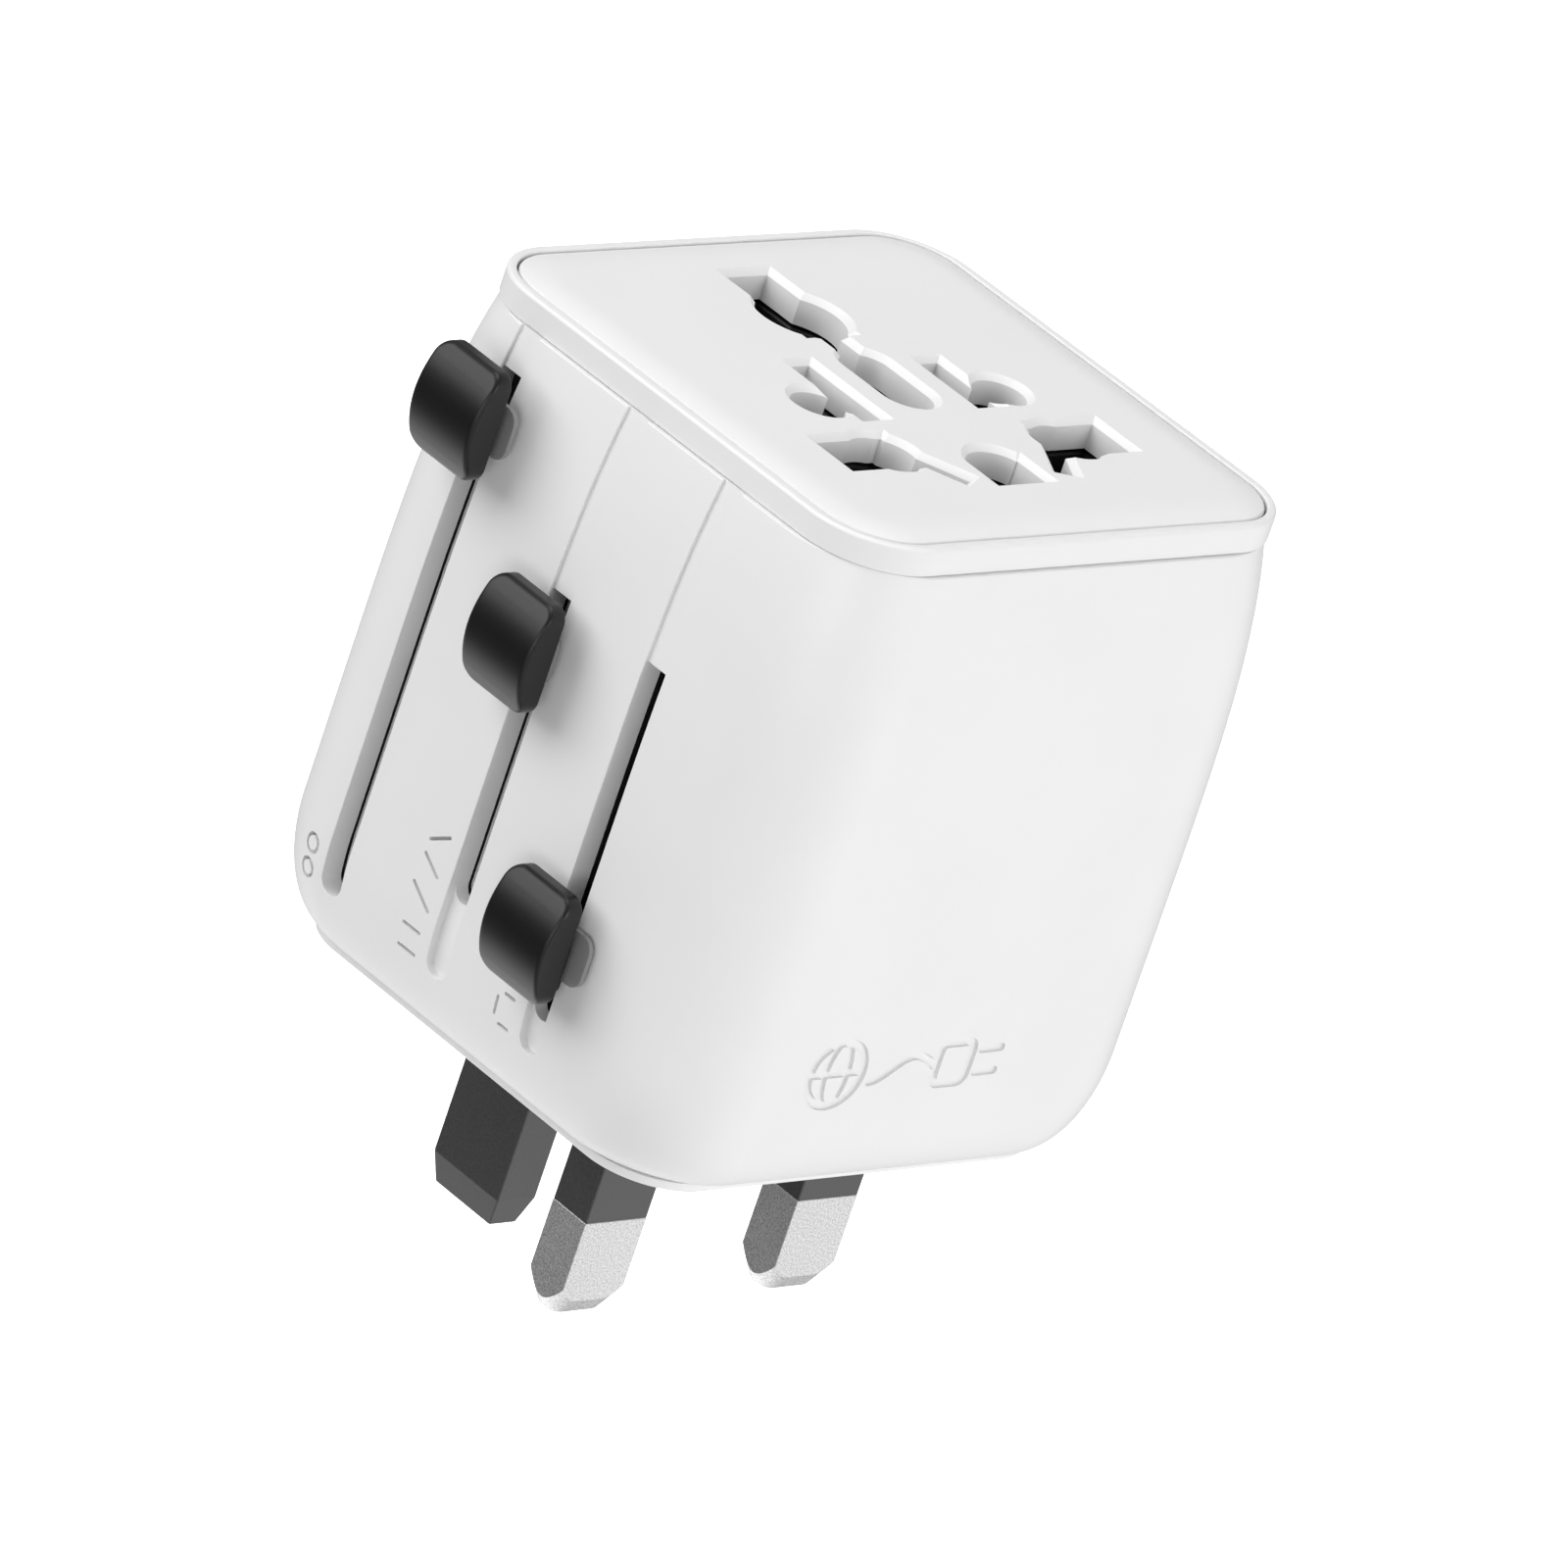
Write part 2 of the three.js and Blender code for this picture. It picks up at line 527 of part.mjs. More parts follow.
// A bowed leaf spring, lying on a carriage, that clicks the slider at its end stops.
function detentSpring(x0, x1, y0, y1) {
  const z = CARRIAGE_Z1 + GAP;
  const middle = (x0 + x1) / 2;
  const rise = 2.6;
  const t = 0.35;
  const shape = new THREE.Shape();
  shape.moveTo(x0, z);
  shape.quadraticCurveTo(middle, z + rise, x1, z);
  shape.lineTo(x1, z + t);
  shape.quadraticCurveTo(middle, z + rise + t, x0, z + t);
  shape.closePath();
  return prismAlongY(shape, y0, y1, 8);
}

const slab = (x0, x1, y0, y1) => box(x0, x1, y0, y1, CARRIAGE_Z0, CARRIAGE_Z1);

// The slim core of a British pin, and the square stem of its earth pin, `more` wider.
function ukCore(side, more, z0, z1) {
  const x = side * UK_PIN.x;
  const hx = UK_CORE.hx + more;
  const hy = UK_CORE.hy + more;
  return box(x - hx, x + hx, UK_PIN.y - hy, UK_PIN.y + hy, z0, z1);
}

function earthStem(more, z0, z1) {
  const half = UK_EARTH.stem + more;
  return box(-half, half, UK_EARTH.y - half, UK_EARTH.y + half, z0, z1);
}

function ukCarriage() {
  const frame = join(
    slab(ARM_X0, 19.8, -12.5, -4.5), slab(16.5, 19.8, -4.6, 15.5), slab(-2.8, 19.8, 11.5, 15.5), arm(UK));
  const sockets = [-1, 1].map((side) => ukCore(side, FIT, 0, CARRIAGE_Z1 + 1));
  return cut(frame, ...sockets, earthStem(FIT, 0, CARRIAGE_Z1 + 1));
}

// A British line or neutral pin: a bevelled tip, and a slimmer core that runs up
// through its sleeve and the carriage.
function ukPin(side) {
  const x = side * UK_PIN.x;
  const { y, hx, hy, tip, sleeveEnd } = UK_PIN;
  const acrossX = outline([
    [x - hx, sleeveEnd], [x - hx, tip + 2.2], [x - hx + 0.35, tip + 1.1], [x - 2.2, tip],
    [x + 2.2, tip], [x + hx - 0.35, tip + 1.1], [x + hx, tip + 2.2], [x + hx, sleeveEnd],
  ]);
  const acrossY = outline([
    [y - hy, sleeveEnd], [y - hy, tip + 1.6], [y - hy + 0.94, tip],
    [y + hy - 0.94, tip], [y + hy, tip + 1.6], [y + hy, sleeveEnd],
  ]);
  const nose = prismAlongY(acrossX, y - hy, y + hy).intersect(prismAlongX(acrossY, x - hx, x + hx));
  return join(nose, ukCore(side, 0, sleeveEnd - 0.1, CARRIAGE_Z1 + 2.6));
}

function ukSleeve(side) {
  const x = side * UK_PIN.x;
  const { y, hx, hy, sleeveEnd } = UK_PIN;
  const top = CARRIAGE_Z0 - GAP;
  return cut(
    box(x - hx, x + hx, y - hy, y + hy, sleeveEnd + FIT, top),
    ukCore(side, FIT, sleeveEnd - 1, top + 1));
}

function ukEarthPin() {
  const { y, hx, hy, tip } = UK_EARTH;
  const top = CARRIAGE_Z0 - GAP;
  const acrossX = outline([
    [-hx, top], [-hx, tip + 2.5], [-hx + 0.6, tip], [hx - 0.6, tip], [hx, tip + 2.5], [hx, top],
  ]);
  const acrossY = outline([
    [y - hy, top], [y - hy, tip + 2.5], [y - hy + 0.6, tip],
    [y + hy - 0.6, tip], [y + hy, tip + 2.5], [y + hy, top],
  ]);
  const shank = prismAlongY(acrossX, y - hy, y + hy).intersect(prismAlongX(acrossY, -hx, hx));
  return join(shank, earthStem(0, top - 0.1, CARRIAGE_Z1 + 0.8));
}

function usCarriage() {
  const pivots = [-1, 1].map((side) => cylinder(side * US_BLADE.x, 0, US_BLADE.stem + GAP, 0, 10));
  return cut(join(slab(ARM_X0, 11.0, -3.6, 3.6), arm(US)), ...pivots);
}

// An American blade about its own twist axis: blade, shoulder and pivot stem.
function usBlade() {
  const { hx, hy, tip, stem } = US_BLADE;
  const top = CARRIAGE_Z0 - GAP;
  const face = outline([
    [-hy, top], [-hy, tip + 1.2], [-hy + 1.2, tip], [hy - 1.2, tip], [hy, tip + 1.2], [hy, top],
  ]);
  const edge = outline([[-hx, top], [-hx, tip + 1], [-0.3, tip], [0.3, tip], [hx, tip + 1], [hx, top]]);
  const blade = prismAlongX(face, -hx, hx).intersect(prismAlongY(edge, -hy, hy));
  return join(blade, cylinder(0, 0, stem, top - 0.1, CARRIAGE_Z1 + 1.6, 20));
}

// The clip ring that keeps a blade's stem in the carriage.
function usRetainer() {
  const z = CARRIAGE_Z1 + GAP;
  return cut(cylinder(0, 0, 2.6, z, z + 0.9), cylinder(0, 0, US_BLADE.stem + FIT, z - 1, z + 2, 20));
}

function euCarriage() {
  const bar = join(
    slab(ARM_X0, -4.4, 4.3, 8.3), slab(-4.5, 4.5, 5.3, 7.0), slab(4.4, 12.0, 4.3, 8.3),
    slab(ARM_X0, -17.5, 4.4, 16.45), arm(EU));
  const sockets = [-1, 1].map((side) => cylinder(side * EU_PIN.x, EU_PIN.y, EU_PIN.core + FIT, 0, 10));
  return cut(bar, ...sockets);
}

function euPin(side) {
  const { r, tip, sleeveEnd, core } = EU_PIN;
  const profile = [[0, tip]];
  for (let step = 1; step <= 5; step += 1) {
    const angle = step / 5 * Math.PI / 2;
    profile.push([r * Math.sin(angle), tip + r - r * Math.cos(angle)]);
  }
  profile.push([r, sleeveEnd], [core, sleeveEnd], [core, CARRIAGE_Z1 + 1.6], [0, CARRIAGE_Z1 + 1.6]);
  return turned(profile, side * EU_PIN.x, EU_PIN.y);
}

function euSleeve(side) {
  const z0 = EU_PIN.sleeveEnd + FIT;
  const z1 = CARRIAGE_Z0 - GAP;
  const inner = EU_PIN.core + FIT;
  const outer = EU_PIN.sleeve;
  const profile = [[inner, z0], [outer, z0], [outer, z1], [inner, z1], [inner, z0]];
  return turned(profile, side * EU_PIN.x, EU_PIN.y);
}

// -------------------------------------------------------------------------- assembly

const adapter = new THREE.Group();

const housing = new THREE.Group();
housing.add(mesh('body_shell', bodyShell(), WHITE));
housing.add(mesh('top_rim', topRim(), WHITE));
housing.add(mesh('socket_plate', socketPlate(), WHITE));
housing.add(mesh('base_plate', basePlate(), WHITE));
housing.add(mesh('contact_carrier', contactCarrier(), BLACK));
housing.add(mesh('slider_guide', sliderGuide(-1.0, 18.2, [US, EU]), WHITE));
housing.add(mesh('uk_slider_guide', sliderGuide(-12.6, -5.7, [UK]), BLACK));
housing.add(mesh('live_contact', socketContact(1), BRASS));
housing.add(mesh('neutral_contact', socketContact(-1), BRASS));
housing.add(mesh('live_busbar', busbar(1), BRASS));
housing.add(mesh('neutral_busbar', busbar(-1), BRASS));
housing.add(mesh('live_rail', rail(13.2, 13.2 + SHEET, -3.9, 10.5), BRASS));
housing.add(mesh('neutral_rail', rail(-16.5, -4.0, 9.1, 9.1 + SHEET), BRASS));
housing.add(mesh('fuse_board', box(
  -FUSE_BOARD.hx, FUSE_BOARD.hx, FUSE_BOARD.y0, FUSE_BOARD.y1, FUSE_BOARD.z0, FUSE_BOARD.z1), BOARD));
housing.add(mesh('fuse_tube', fuseCylinder(FUSE.tube, -FUSE.inner + GAP, FUSE.inner - GAP), CERAMIC));
for (const [label, side] of [['left', -1], ['right', 1]]) {
  const ends = ordered(side * FUSE.inner, side * FUSE.outer);
  housing.add(mesh(`fuse_cap_${label}`, fuseCylinder(FUSE.r, ...ends), NICKEL));
  housing.add(mesh(`fuse_clip_${label}`, fuseClip(side), BRASS));
}
for (const [label, sx, sy] of CORNERS) {
  housing.add(mesh(`base_screw_${label}`, baseScrew(sx * BOSS.x, sy * BOSS.y), STEEL));
}
adapter.add(housing);

const ukPlug = new THREE.Group();
ukPlug.add(mesh('uk_carriage', ukCarriage(), BLACK));
ukPlug.add(mesh('uk_knob', knob(UK), BLACK));
ukPlug.add(mesh('uk_live_pin', ukPin(1), NICKEL));
ukPlug.add(mesh('uk_neutral_pin', ukPin(-1), NICKEL));
ukPlug.add(mesh('uk_live_sleeve', ukSleeve(1), SLEEVE));
ukPlug.add(mesh('uk_neutral_sleeve', ukSleeve(-1), SLEEVE));
ukPlug.add(mesh('uk_earth_pin', ukEarthPin(), SLEEVE));
ukPlug.add(mesh('uk_detent_spring', detentSpring(-6.5, 6.5, -9.5, -7.0), STEEL));
adapter.add(ukPlug);

const usPlug = new THREE.Group();
usPlug.position.z = US.travel;
usPlug.add(mesh('us_carriage', usCarriage(), BLACK));
usPlug.add(mesh('us_knob', knob(US), BLACK));
usPlug.add(mesh('us_detent_spring', detentSpring(-17.8, -9.8, -1.5, 0.3), STEEL));
for (const [label, side] of [['left', -1], ['right', 1]]) {
  const blade = new THREE.Group();
  blade.position.x = side * US_BLADE.x;
  blade.add(mesh(`us_blade_${label}`, usBlade(), NICKEL));
  blade.add(mesh(`us_retainer_${label}`, usRetainer(), STEEL));
  usPlug.add(blade);
}
adapter.add(usPlug);

const euPlug = new THREE.Group();
euPlug.position.z = EU.travel;
euPlug.add(mesh('eu_carriage', euCarriage(), BLACK));
euPlug.add(mesh('eu_knob', knob(EU), BLACK));
euPlug.add(mesh('eu_pin_left', euPin(-1), NICKEL));
euPlug.add(mesh('eu_pin_right', euPin(1), NICKEL));
euPlug.add(mesh('eu_sleeve_left', euSleeve(-1), SLEEVE));
euPlug.add(mesh('eu_sleeve_right', euSleeve(1), SLEEVE));
euPlug.add(mesh('eu_detent_spring', detentSpring(-17.2, -11.6, 5.2, 7.4), STEEL));
adapter.add(euPlug);

export default adapter;
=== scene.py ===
# Universal travel adapter. Every piece is drawn in millimetres, +Z up, in the CAD's own
# frame, and place() turns it into metres and fixes it to its body.

from math import cos, hypot, pi, radians, sin, sqrt

import bmesh
import bpy
from mathutils import Matrix, Vector


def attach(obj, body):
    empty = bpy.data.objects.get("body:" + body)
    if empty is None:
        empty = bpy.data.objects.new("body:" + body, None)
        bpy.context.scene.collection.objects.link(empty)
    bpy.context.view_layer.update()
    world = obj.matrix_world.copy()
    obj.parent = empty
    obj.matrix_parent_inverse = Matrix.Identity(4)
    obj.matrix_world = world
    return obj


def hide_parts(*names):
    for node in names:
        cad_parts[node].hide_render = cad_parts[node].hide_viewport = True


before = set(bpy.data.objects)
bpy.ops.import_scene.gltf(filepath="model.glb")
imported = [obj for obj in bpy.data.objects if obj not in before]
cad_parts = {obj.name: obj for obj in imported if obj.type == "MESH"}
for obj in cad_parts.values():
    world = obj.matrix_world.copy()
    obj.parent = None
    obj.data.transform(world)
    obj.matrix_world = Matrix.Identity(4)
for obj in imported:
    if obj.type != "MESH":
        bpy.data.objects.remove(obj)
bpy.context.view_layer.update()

MM = 0.001

# ------------------------------------------------------------------ driving dimensions

GAP = 0.3  # ordinary clearance
FIT = 0.2  # close clearance
WALL = 2.0
PLAN_STEPS = 16  # facets in each corner of the other plans

SHELL_HX = 25.4
SHELL_HY = 25.45
SHELL_R = 8.8
TOP_DROP_X = 1.8  # how far the side walls lean in at the top
TOP_DROP_Y = 1.3
FOOT_DROP = 3.0  # how far the walls curve in at the foot
FOOT_Z = 1.0
FOOT_RISE = 9.0
FOOT_STEPS = 24
CROWN_Z = 15.0  # height from which the walls lean in
CROWN_RISE = 38.35
CROWN_POWER = 4.5
SHELL_BOTTOM = 0.74
SHELL_TOP = 53.58
SHELL_STEPS = 20  # facets in each corner of its plan
# How far a face's corners may be off the drawn surface, and how well its direction has to
# agree, for it to count as the shell's outside.
OUTSIDE_GAP = (-0.045, 0.012)
OUTSIDE_MATCH = 0.97

PARTING_Z = 53.65
RIM = (23.14, 23.8, 7.0)  # half width, half depth and corner radius of the plan
RIM_TOP = 55.88
RIM_SPIGOT = (21.2, 21.75, 5.2)
RIM_SPIGOT_Z = PARTING_Z - 2.4
RIM_FOOT = PARTING_Z - 0.03
PLATE = (22.0, 22.7, 5.4)
PLATE_UNDER = 54.65
PLATE_TOP = 56.2
PLATE_GAP = 0.18
PLATE_BORDER = 0.2  # width of the rounding round the plate's edge
PLATE_DOME = 0.36  # how much higher its middle is than its border
PLATE_DOME_REACH = 3.0
CARRIER = (18.2, 20.1, 3.2)
CARRIER_Z = (47.2, 53.3)

BASE = (22.05, 21.83, 6.4)
BASE_SPIGOT = (20.1, 19.95, 4.6)
FLANGE = 0.72
BASE_TOP = 2.0
CARRIAGE_Z = (2.3, 6.3)

POSTS = {
    "front_left": (-12.5, -18), "front_right": (12.5, -18),
    "back_left": (-12.5, 18), "back_right": (12.5, 18),
}
POST_R = 2.0
POST_TOP = 14.0
RIB_HALF = 0.6  # half thickness of the rib that joins a post to the wall
RIB_FOOT = 5.0
RIB_END = 24.0
PILOT_R = 1.1
SCREW_HEAD = 1.7
SCREW_HEAD_END = 0.95
SCREW_SHANK = 0.8
SCREW_TIP = 10.0
THREAD_START = 1.4
THREAD_PITCH = 0.75
THREAD_DEPTH = 0.2
CROSS = (0.95, 0.17, 0.62)  # half length, half width and top of the cross recess

SLOT_HALF = 1.15
GROOVE_DEPTH = 0.3
LOW_DEPTH = 0.75
CUT_DEPTH = 6.0  # a slot's cutter, which goes right through the wall
CUTTER_OUT = 0.4  # how far a mark's cutter stands out of the surface

# Each slider: body, slot's place and ends, bottom of its shallow stretch, knob height with
# the plug out, how far the cap sits aside of the slot, tongue below the knob's middle,
# lift at rest and collar half width.
SLIDERS = {
    "uk": dict(
        body="uk_slider", y=-9.15, z0=8.3, z1=38.35, low=5.5,
        knob=15.7, aside=0.55, drop=1.8, lift=0.0, collar=3.85),
    "us": dict(
        body="us_slider", y=2.15, z0=11.9, z1=38.35, low=5.5,
        knob=16.6, aside=0.2, drop=0.2, lift=17.8, collar=2.2),
    "eu": dict(
        body="eu_slider", y=15.05, z0=5.4, z1=50.2, low=None,
        knob=11.25, aside=-0.1, drop=0.35, lift=36.0, collar=3.9),
}
KNOB_HY = 3.55
KNOB_HZ = 4.55
KNOB_BACK = -27.3
KNOB_EDGE = -28.6
KNOB_CROWN = -30.1
KNOB_ROUND = 0.2
KNOB_R = 1.3
KNOB_FILLET = 0.35
NECK = (1.9, 0.9)  # half width, and reach above and below the tongue
NECK_END = -26.0
COLLAR_HALF = 2.15
COLLAR_R = 1.2
COLLAR_DROP = 0.65
TONGUE_HALF = 0.9
TONGUE_TIP = -27.3
TONGUE_HEIGHT = 2.4
POCKET_END = -24.6

UK_PIN = dict(x=11.1, y=-8.8, hx=3.175, hy=2.0, tip=-17.9, sleeve=-9.4)
UK_POINT = ((2.55, 0.57), (1.06, 0.59))  # half sizes of the tip, and how fast each grows
UK_CORE = (2.0, 1.1)
UK_EARTH = dict(y=13.4, hx=2.0, hy=4.0, tip=-22.8, stem=1.3)
US_BLADE = dict(x=6.35, hx=0.75, hy=3.175, tip=-16.5, stem=1.6, twist=30)
EU_PIN = dict(x=9.5, y=6.3, r=2.0, tip=-19.0, sleeve=-9.5, core=1.2, sleeve_r=1.85)
PIN_ROOT = 2.0  # where the parts that show end, inside the base
STEM_END = 7.9

# --------------------------------------------------------------------------- outlines


def rounded(hx, hy, r, steps=8, side=1, cx=0.0, cy=0.0, turn=0.0):
    """A rounded rectangle, anticlockwise. Point i mirrors point -1-i across the x axis,
    and each side that runs along x is in `side` equal parts."""
    points = []
    for corner in range(4):
        x = (hx - r) * (1, -1, -1, 1)[corner]
        y = (hy - r) * (1, 1, -1, -1)[corner]
        for step in range(steps + 1):
            angle = (corner + step / steps) * pi / 2
            points.append((x + r * cos(angle), y + r * sin(angle)))
        if corner in (0, 2):
            ahead = -1 if corner == 0 else 1
            for part in range(1, side):
                along = (hx - r) * (1 - 2 * part / side)
                points.append((-ahead * along, y + r * (1 if corner == 0 else -1)))
    c, s = cos(turn), sin(turn)
    return [(cx + x * c - y * s, cy + x * s + y * c) for x, y in points]


def arc(cx, cy, r, start, end, steps=12, ry=None):
    """Points of an arc, or of an ellipse's arc, from one angle to another in degrees."""
    spots = []
    for step in range(steps + 1):
        angle = radians(start + (end - start) * step / steps)
        spots.append((cx + r * cos(angle), cy + (ry or r) * sin(angle)))
    return spots


def at(points, z):
    """Puts a flat outline at a height."""
    return [(x, y, z) for x, y in points]


# ------------------------------------------------------------------------ mesh helpers


def mesh_object(name, vertices, faces):
    """An object whose faces all look outward and share their corners."""
    mesh = bpy.data.meshes.new(name)
    mesh.from_pydata(vertices, [], faces)
    bm = bmesh.new()
    bm.from_mesh(mesh)
    bmesh.ops.remove_doubles(bm, verts=bm.verts, dist=1e-5)
    bmesh.ops.recalc_face_normals(bm, faces=bm.faces)
    bm.to_mesh(mesh)
    bm.free()
    obj = bpy.data.objects.new(name, mesh)
    bpy.context.scene.collection.objects.link(obj)
    return obj


def skin(name, rings, around=False):
    """A closed mesh through rings of equal length. Its ends are closed by strips across
    the rings, or with `around` the last ring joins the first."""
    count = len(rings[0])
    vertices = [point for ring in rings for point in ring]
    faces = []
    for level in range(len(rings) if around else len(rings) - 1):
        low = level * count
        high = (level + 1) % len(rings) * count
        for i in range(count):
            j = (i + 1) % count
            faces.append((low + i, low + j, high + j, high + i))
    if not around:
        for first in (0, (len(rings) - 1) * count):
            last = first + count - 1
            for i in range(count // 2 - 1):
                faces.append((first + i, first + i + 1, last - 1 - i, last - i))
    return mesh_object(name, vertices, faces)


def evaluate(obj):
    """Applies an object's modifiers."""
    bpy.context.view_layer.update()
    graph = bpy.context.evaluated_depsgraph_get()
    obj.data = bpy.data.meshes.new_from_object(obj.evaluated_get(graph))
    obj.modifiers.clear()


def boolean(target, tools, operation="DIFFERENCE"):
    """Cuts the tools from the target, or joins them to it, and deletes them."""
    for tool in tools:
        modifier = target.modifiers.new(operation, "BOOLEAN")
        modifier.operation = operation
        modifier.solver = "MANIFOLD"
        modifier.object = tool
    evaluate(target)
    for tool in tools:
        bpy.data.objects.remove(tool)
    return target


def box(x0, x1, y0, y1, z0, z1, r=0.0):
    """A block whose upright edges have radius r."""
    middle = ((x0 + x1) / 2, (y0 + y1) / 2)
    plan = rounded((x1 - x0) / 2, (y1 - y0) / 2, r, 4 if r else 1, 1, *middle)
    return skin("block", [at(plan, z0), at(plan, z1)])


def cylinder(x, y, r, z0, z1, steps=12):
    plan = rounded(r, r, r, steps, 1, x, y)
    return skin("cylinder", [at(plan, z0), at(plan, z1)])


def turned(name, profile, x=0.0, y=0.0, steps=12):
    """A solid turned about an upright axis. The profile is (radius, z) from end to end."""
    return skin(name, [at(rounded(r, r, r, steps, 1, x, y), z) for r, z in profile])


def corner(spot, r, arrive, leave, steps=4):
    """A quarter round where a profile turns: it comes along one direction and leaves along
    another, both as (outward, up)."""
    bend = []
    for step in range(steps + 1):
        a = step / steps * pi / 2
        along = -1 + sin(a)
        away = 1 - cos(a)
        bend.append((
            spot[0] + r * (arrive[0] * along + leave[0] * away),
            spot[1] + r * (arrive[1] * along + leave[1] * away)))
    return bend


OUT, IN, UP, DOWN = (1, 0), (-1, 0), (0, 1), (0, -1)


def band(plan, z, r, arrive, leave, steps=4):
    """Levels of a swept profile round one corner, as (plan, how far out, height)."""
    return [(plan, out, height) for out, height in corner((0, z), r, arrive, leave, steps)]


def level_rings(levels):
    """Outlines for levels of (plan, how far out, height)."""
    rings = []
    for (hx, hy, r), out, z in levels:
        rings.append(at(rounded(hx + out, hy + out, max(r + out, 0.01), PLAN_STEPS), z))
    return rings


def swept(name, levels):
    """A closed ring swept round the plan through the levels."""
    return skin(name, level_rings(levels), around=True)


def stacked(name, levels):
    """A closed block through the levels."""
    return skin(name, level_rings(levels))


# --------------------------------------------------------------------------- materials

NOISE_LOW, NOISE_HIGH = 0.3, 0.7  # most of a noise lies between these
DRIFT_MM = 9.0
DRIFT_DETAIL = 2.0
ROUGHNESS_SPREAD = 0.04
# Near black painted on the guide's faces that look toward the slots: painted shade for the slots'
# dark depths.
TRACK_PAINTED_SHADE = (0.01, 0.01, 0.01, 1)


def principled(name):
    """A new material with its nodes, its links and its shader."""
    material = bpy.data.materials.new(name)
    material.use_nodes = True
    nodes, links = material.node_tree.nodes, material.node_tree.links
    return material, nodes, links, nodes["Principled BSDF"]


def noise(nodes, links, size_mm, detail=3.0, stretch=(1, 1, 1)):
    """Noise fixed to the piece, with features of about size_mm."""
    place_node = nodes.new("ShaderNodeTexCoord")
    mapping = nodes.new("ShaderNodeMapping")
    mapping.inputs["Scale"].default_value = stretch
    texture = nodes.new("ShaderNodeTexNoise")
    texture.inputs["Scale"].default_value = 1 / (size_mm * MM)
    texture.inputs["Detail"].default_value = detail
    links.new(place_node.outputs["Object"], mapping.inputs["Vector"])
    links.new(mapping.outputs["Vector"], texture.inputs["Vector"])
    return texture.outputs["Fac"]


def spread(nodes, links, value, low, high):
    """Maps the middle of a noise to a range."""
    node = nodes.new("ShaderNodeMapRange")
    node.inputs["From Min"].default_value = NOISE_LOW
    node.inputs["From Max"].default_value = NOISE_HIGH
    node.inputs["To Min"].default_value = low
    node.inputs["To Max"].default_value = high
    links.new(value, node.inputs["Value"])
    return node.outputs["Result"]


def tinted(nodes, links, value, light, dark):
    """Maps the middle of a noise to colours from dark to light."""
    ramp = nodes.new("ShaderNodeValToRGB")
    ramp.color_ramp.elements[0].position = NOISE_LOW
    ramp.color_ramp.elements[1].position = NOISE_HIGH
    ramp.color_ramp.elements[0].color = (*dark, 1)
    ramp.color_ramp.elements[1].color = (*light, 1)
    links.new(value, ramp.inputs["Fac"])
    return ramp.outputs["Color"]


def surface(
        name, colour, vary, roughness, grain_mm, grain_depth_mm,
        metallic=0.0, stretch=(1, 1, 1), specular=0.5, speckle=0.0):
    """A moulded or drawn surface. Its colour drifts by `vary`, and by `speckle` with the fine
    grain, which also varies the roughness and stands up by its depth."""
    material, nodes, links, shader = principled(name)
    drift = noise(nodes, links, DRIFT_MM, DRIFT_DETAIL)
    light = tuple(min(1.0, part * (1 + vary)) for part in colour)
    dark = tuple(part * (1 - vary) for part in colour)
    grain = noise(nodes, links, grain_mm, stretch=stretch)
    colouring = tinted(nodes, links, drift, light, dark)
    if speckle:
        flecks = nodes.new("ShaderNodeVectorMath")
        flecks.operation = "SCALE"
        links.new(colouring, flecks.inputs[0])
        links.new(spread(nodes, links, grain, 1 - speckle, 1 + speckle), flecks.inputs["Scale"])
        colouring = flecks.outputs["Vector"]
    links.new(colouring, shader.inputs["Base Color"])
    dulling = spread(
        nodes, links, grain, roughness - ROUGHNESS_SPREAD, roughness + ROUGHNESS_SPREAD)
    links.new(dulling, shader.inputs["Roughness"])
    bump = nodes.new("ShaderNodeBump")
    bump.inputs["Strength"].default_value = 1.0
    bump.inputs["Distance"].default_value = grain_depth_mm * MM
    links.new(grain, bump.inputs["Height"])
    links.new(bump.outputs["Normal"], shader.inputs["Normal"])
    shader.inputs["Metallic"].default_value = metallic
    shader.inputs["Specular IOR Level"].default_value = specular
    return material


def painted_track_shade(plastic):
    """The same plastic, with painted shade: near black on the track faces, which look toward the
    slots (-X), standing in for the shade deep in the slots.
    """
    material = plastic.copy()
    material.name = "guide_plastic_painted_shade"
    nodes, links = material.node_tree.nodes, material.node_tree.links
    shader = nodes["Principled BSDF"]
    split = nodes.new("ShaderNodeSeparateXYZ")
    links.new(nodes.new("ShaderNodeTexCoord").outputs["Normal"], split.inputs["Vector"])
    facing = nodes.new("ShaderNodeMapRange")
    facing.inputs["From Min"].default_value = -0.4
    facing.inputs["From Max"].default_value = -0.6
    links.new(split.outputs["X"], facing.inputs["Value"])
    mix = nodes.new("ShaderNodeMix")
    mix.data_type = "RGBA"
    links.new(facing.outputs["Result"], mix.inputs["Factor"])
    links.new(shader.inputs["Base Color"].links[0].from_socket, mix.inputs["A"])
    mix.inputs["B"].default_value = TRACK_PAINTED_SHADE
    links.new(mix.outputs["Result"], shader.inputs["Base Color"])
    return material


def grey(value):
    return (value, value, value)


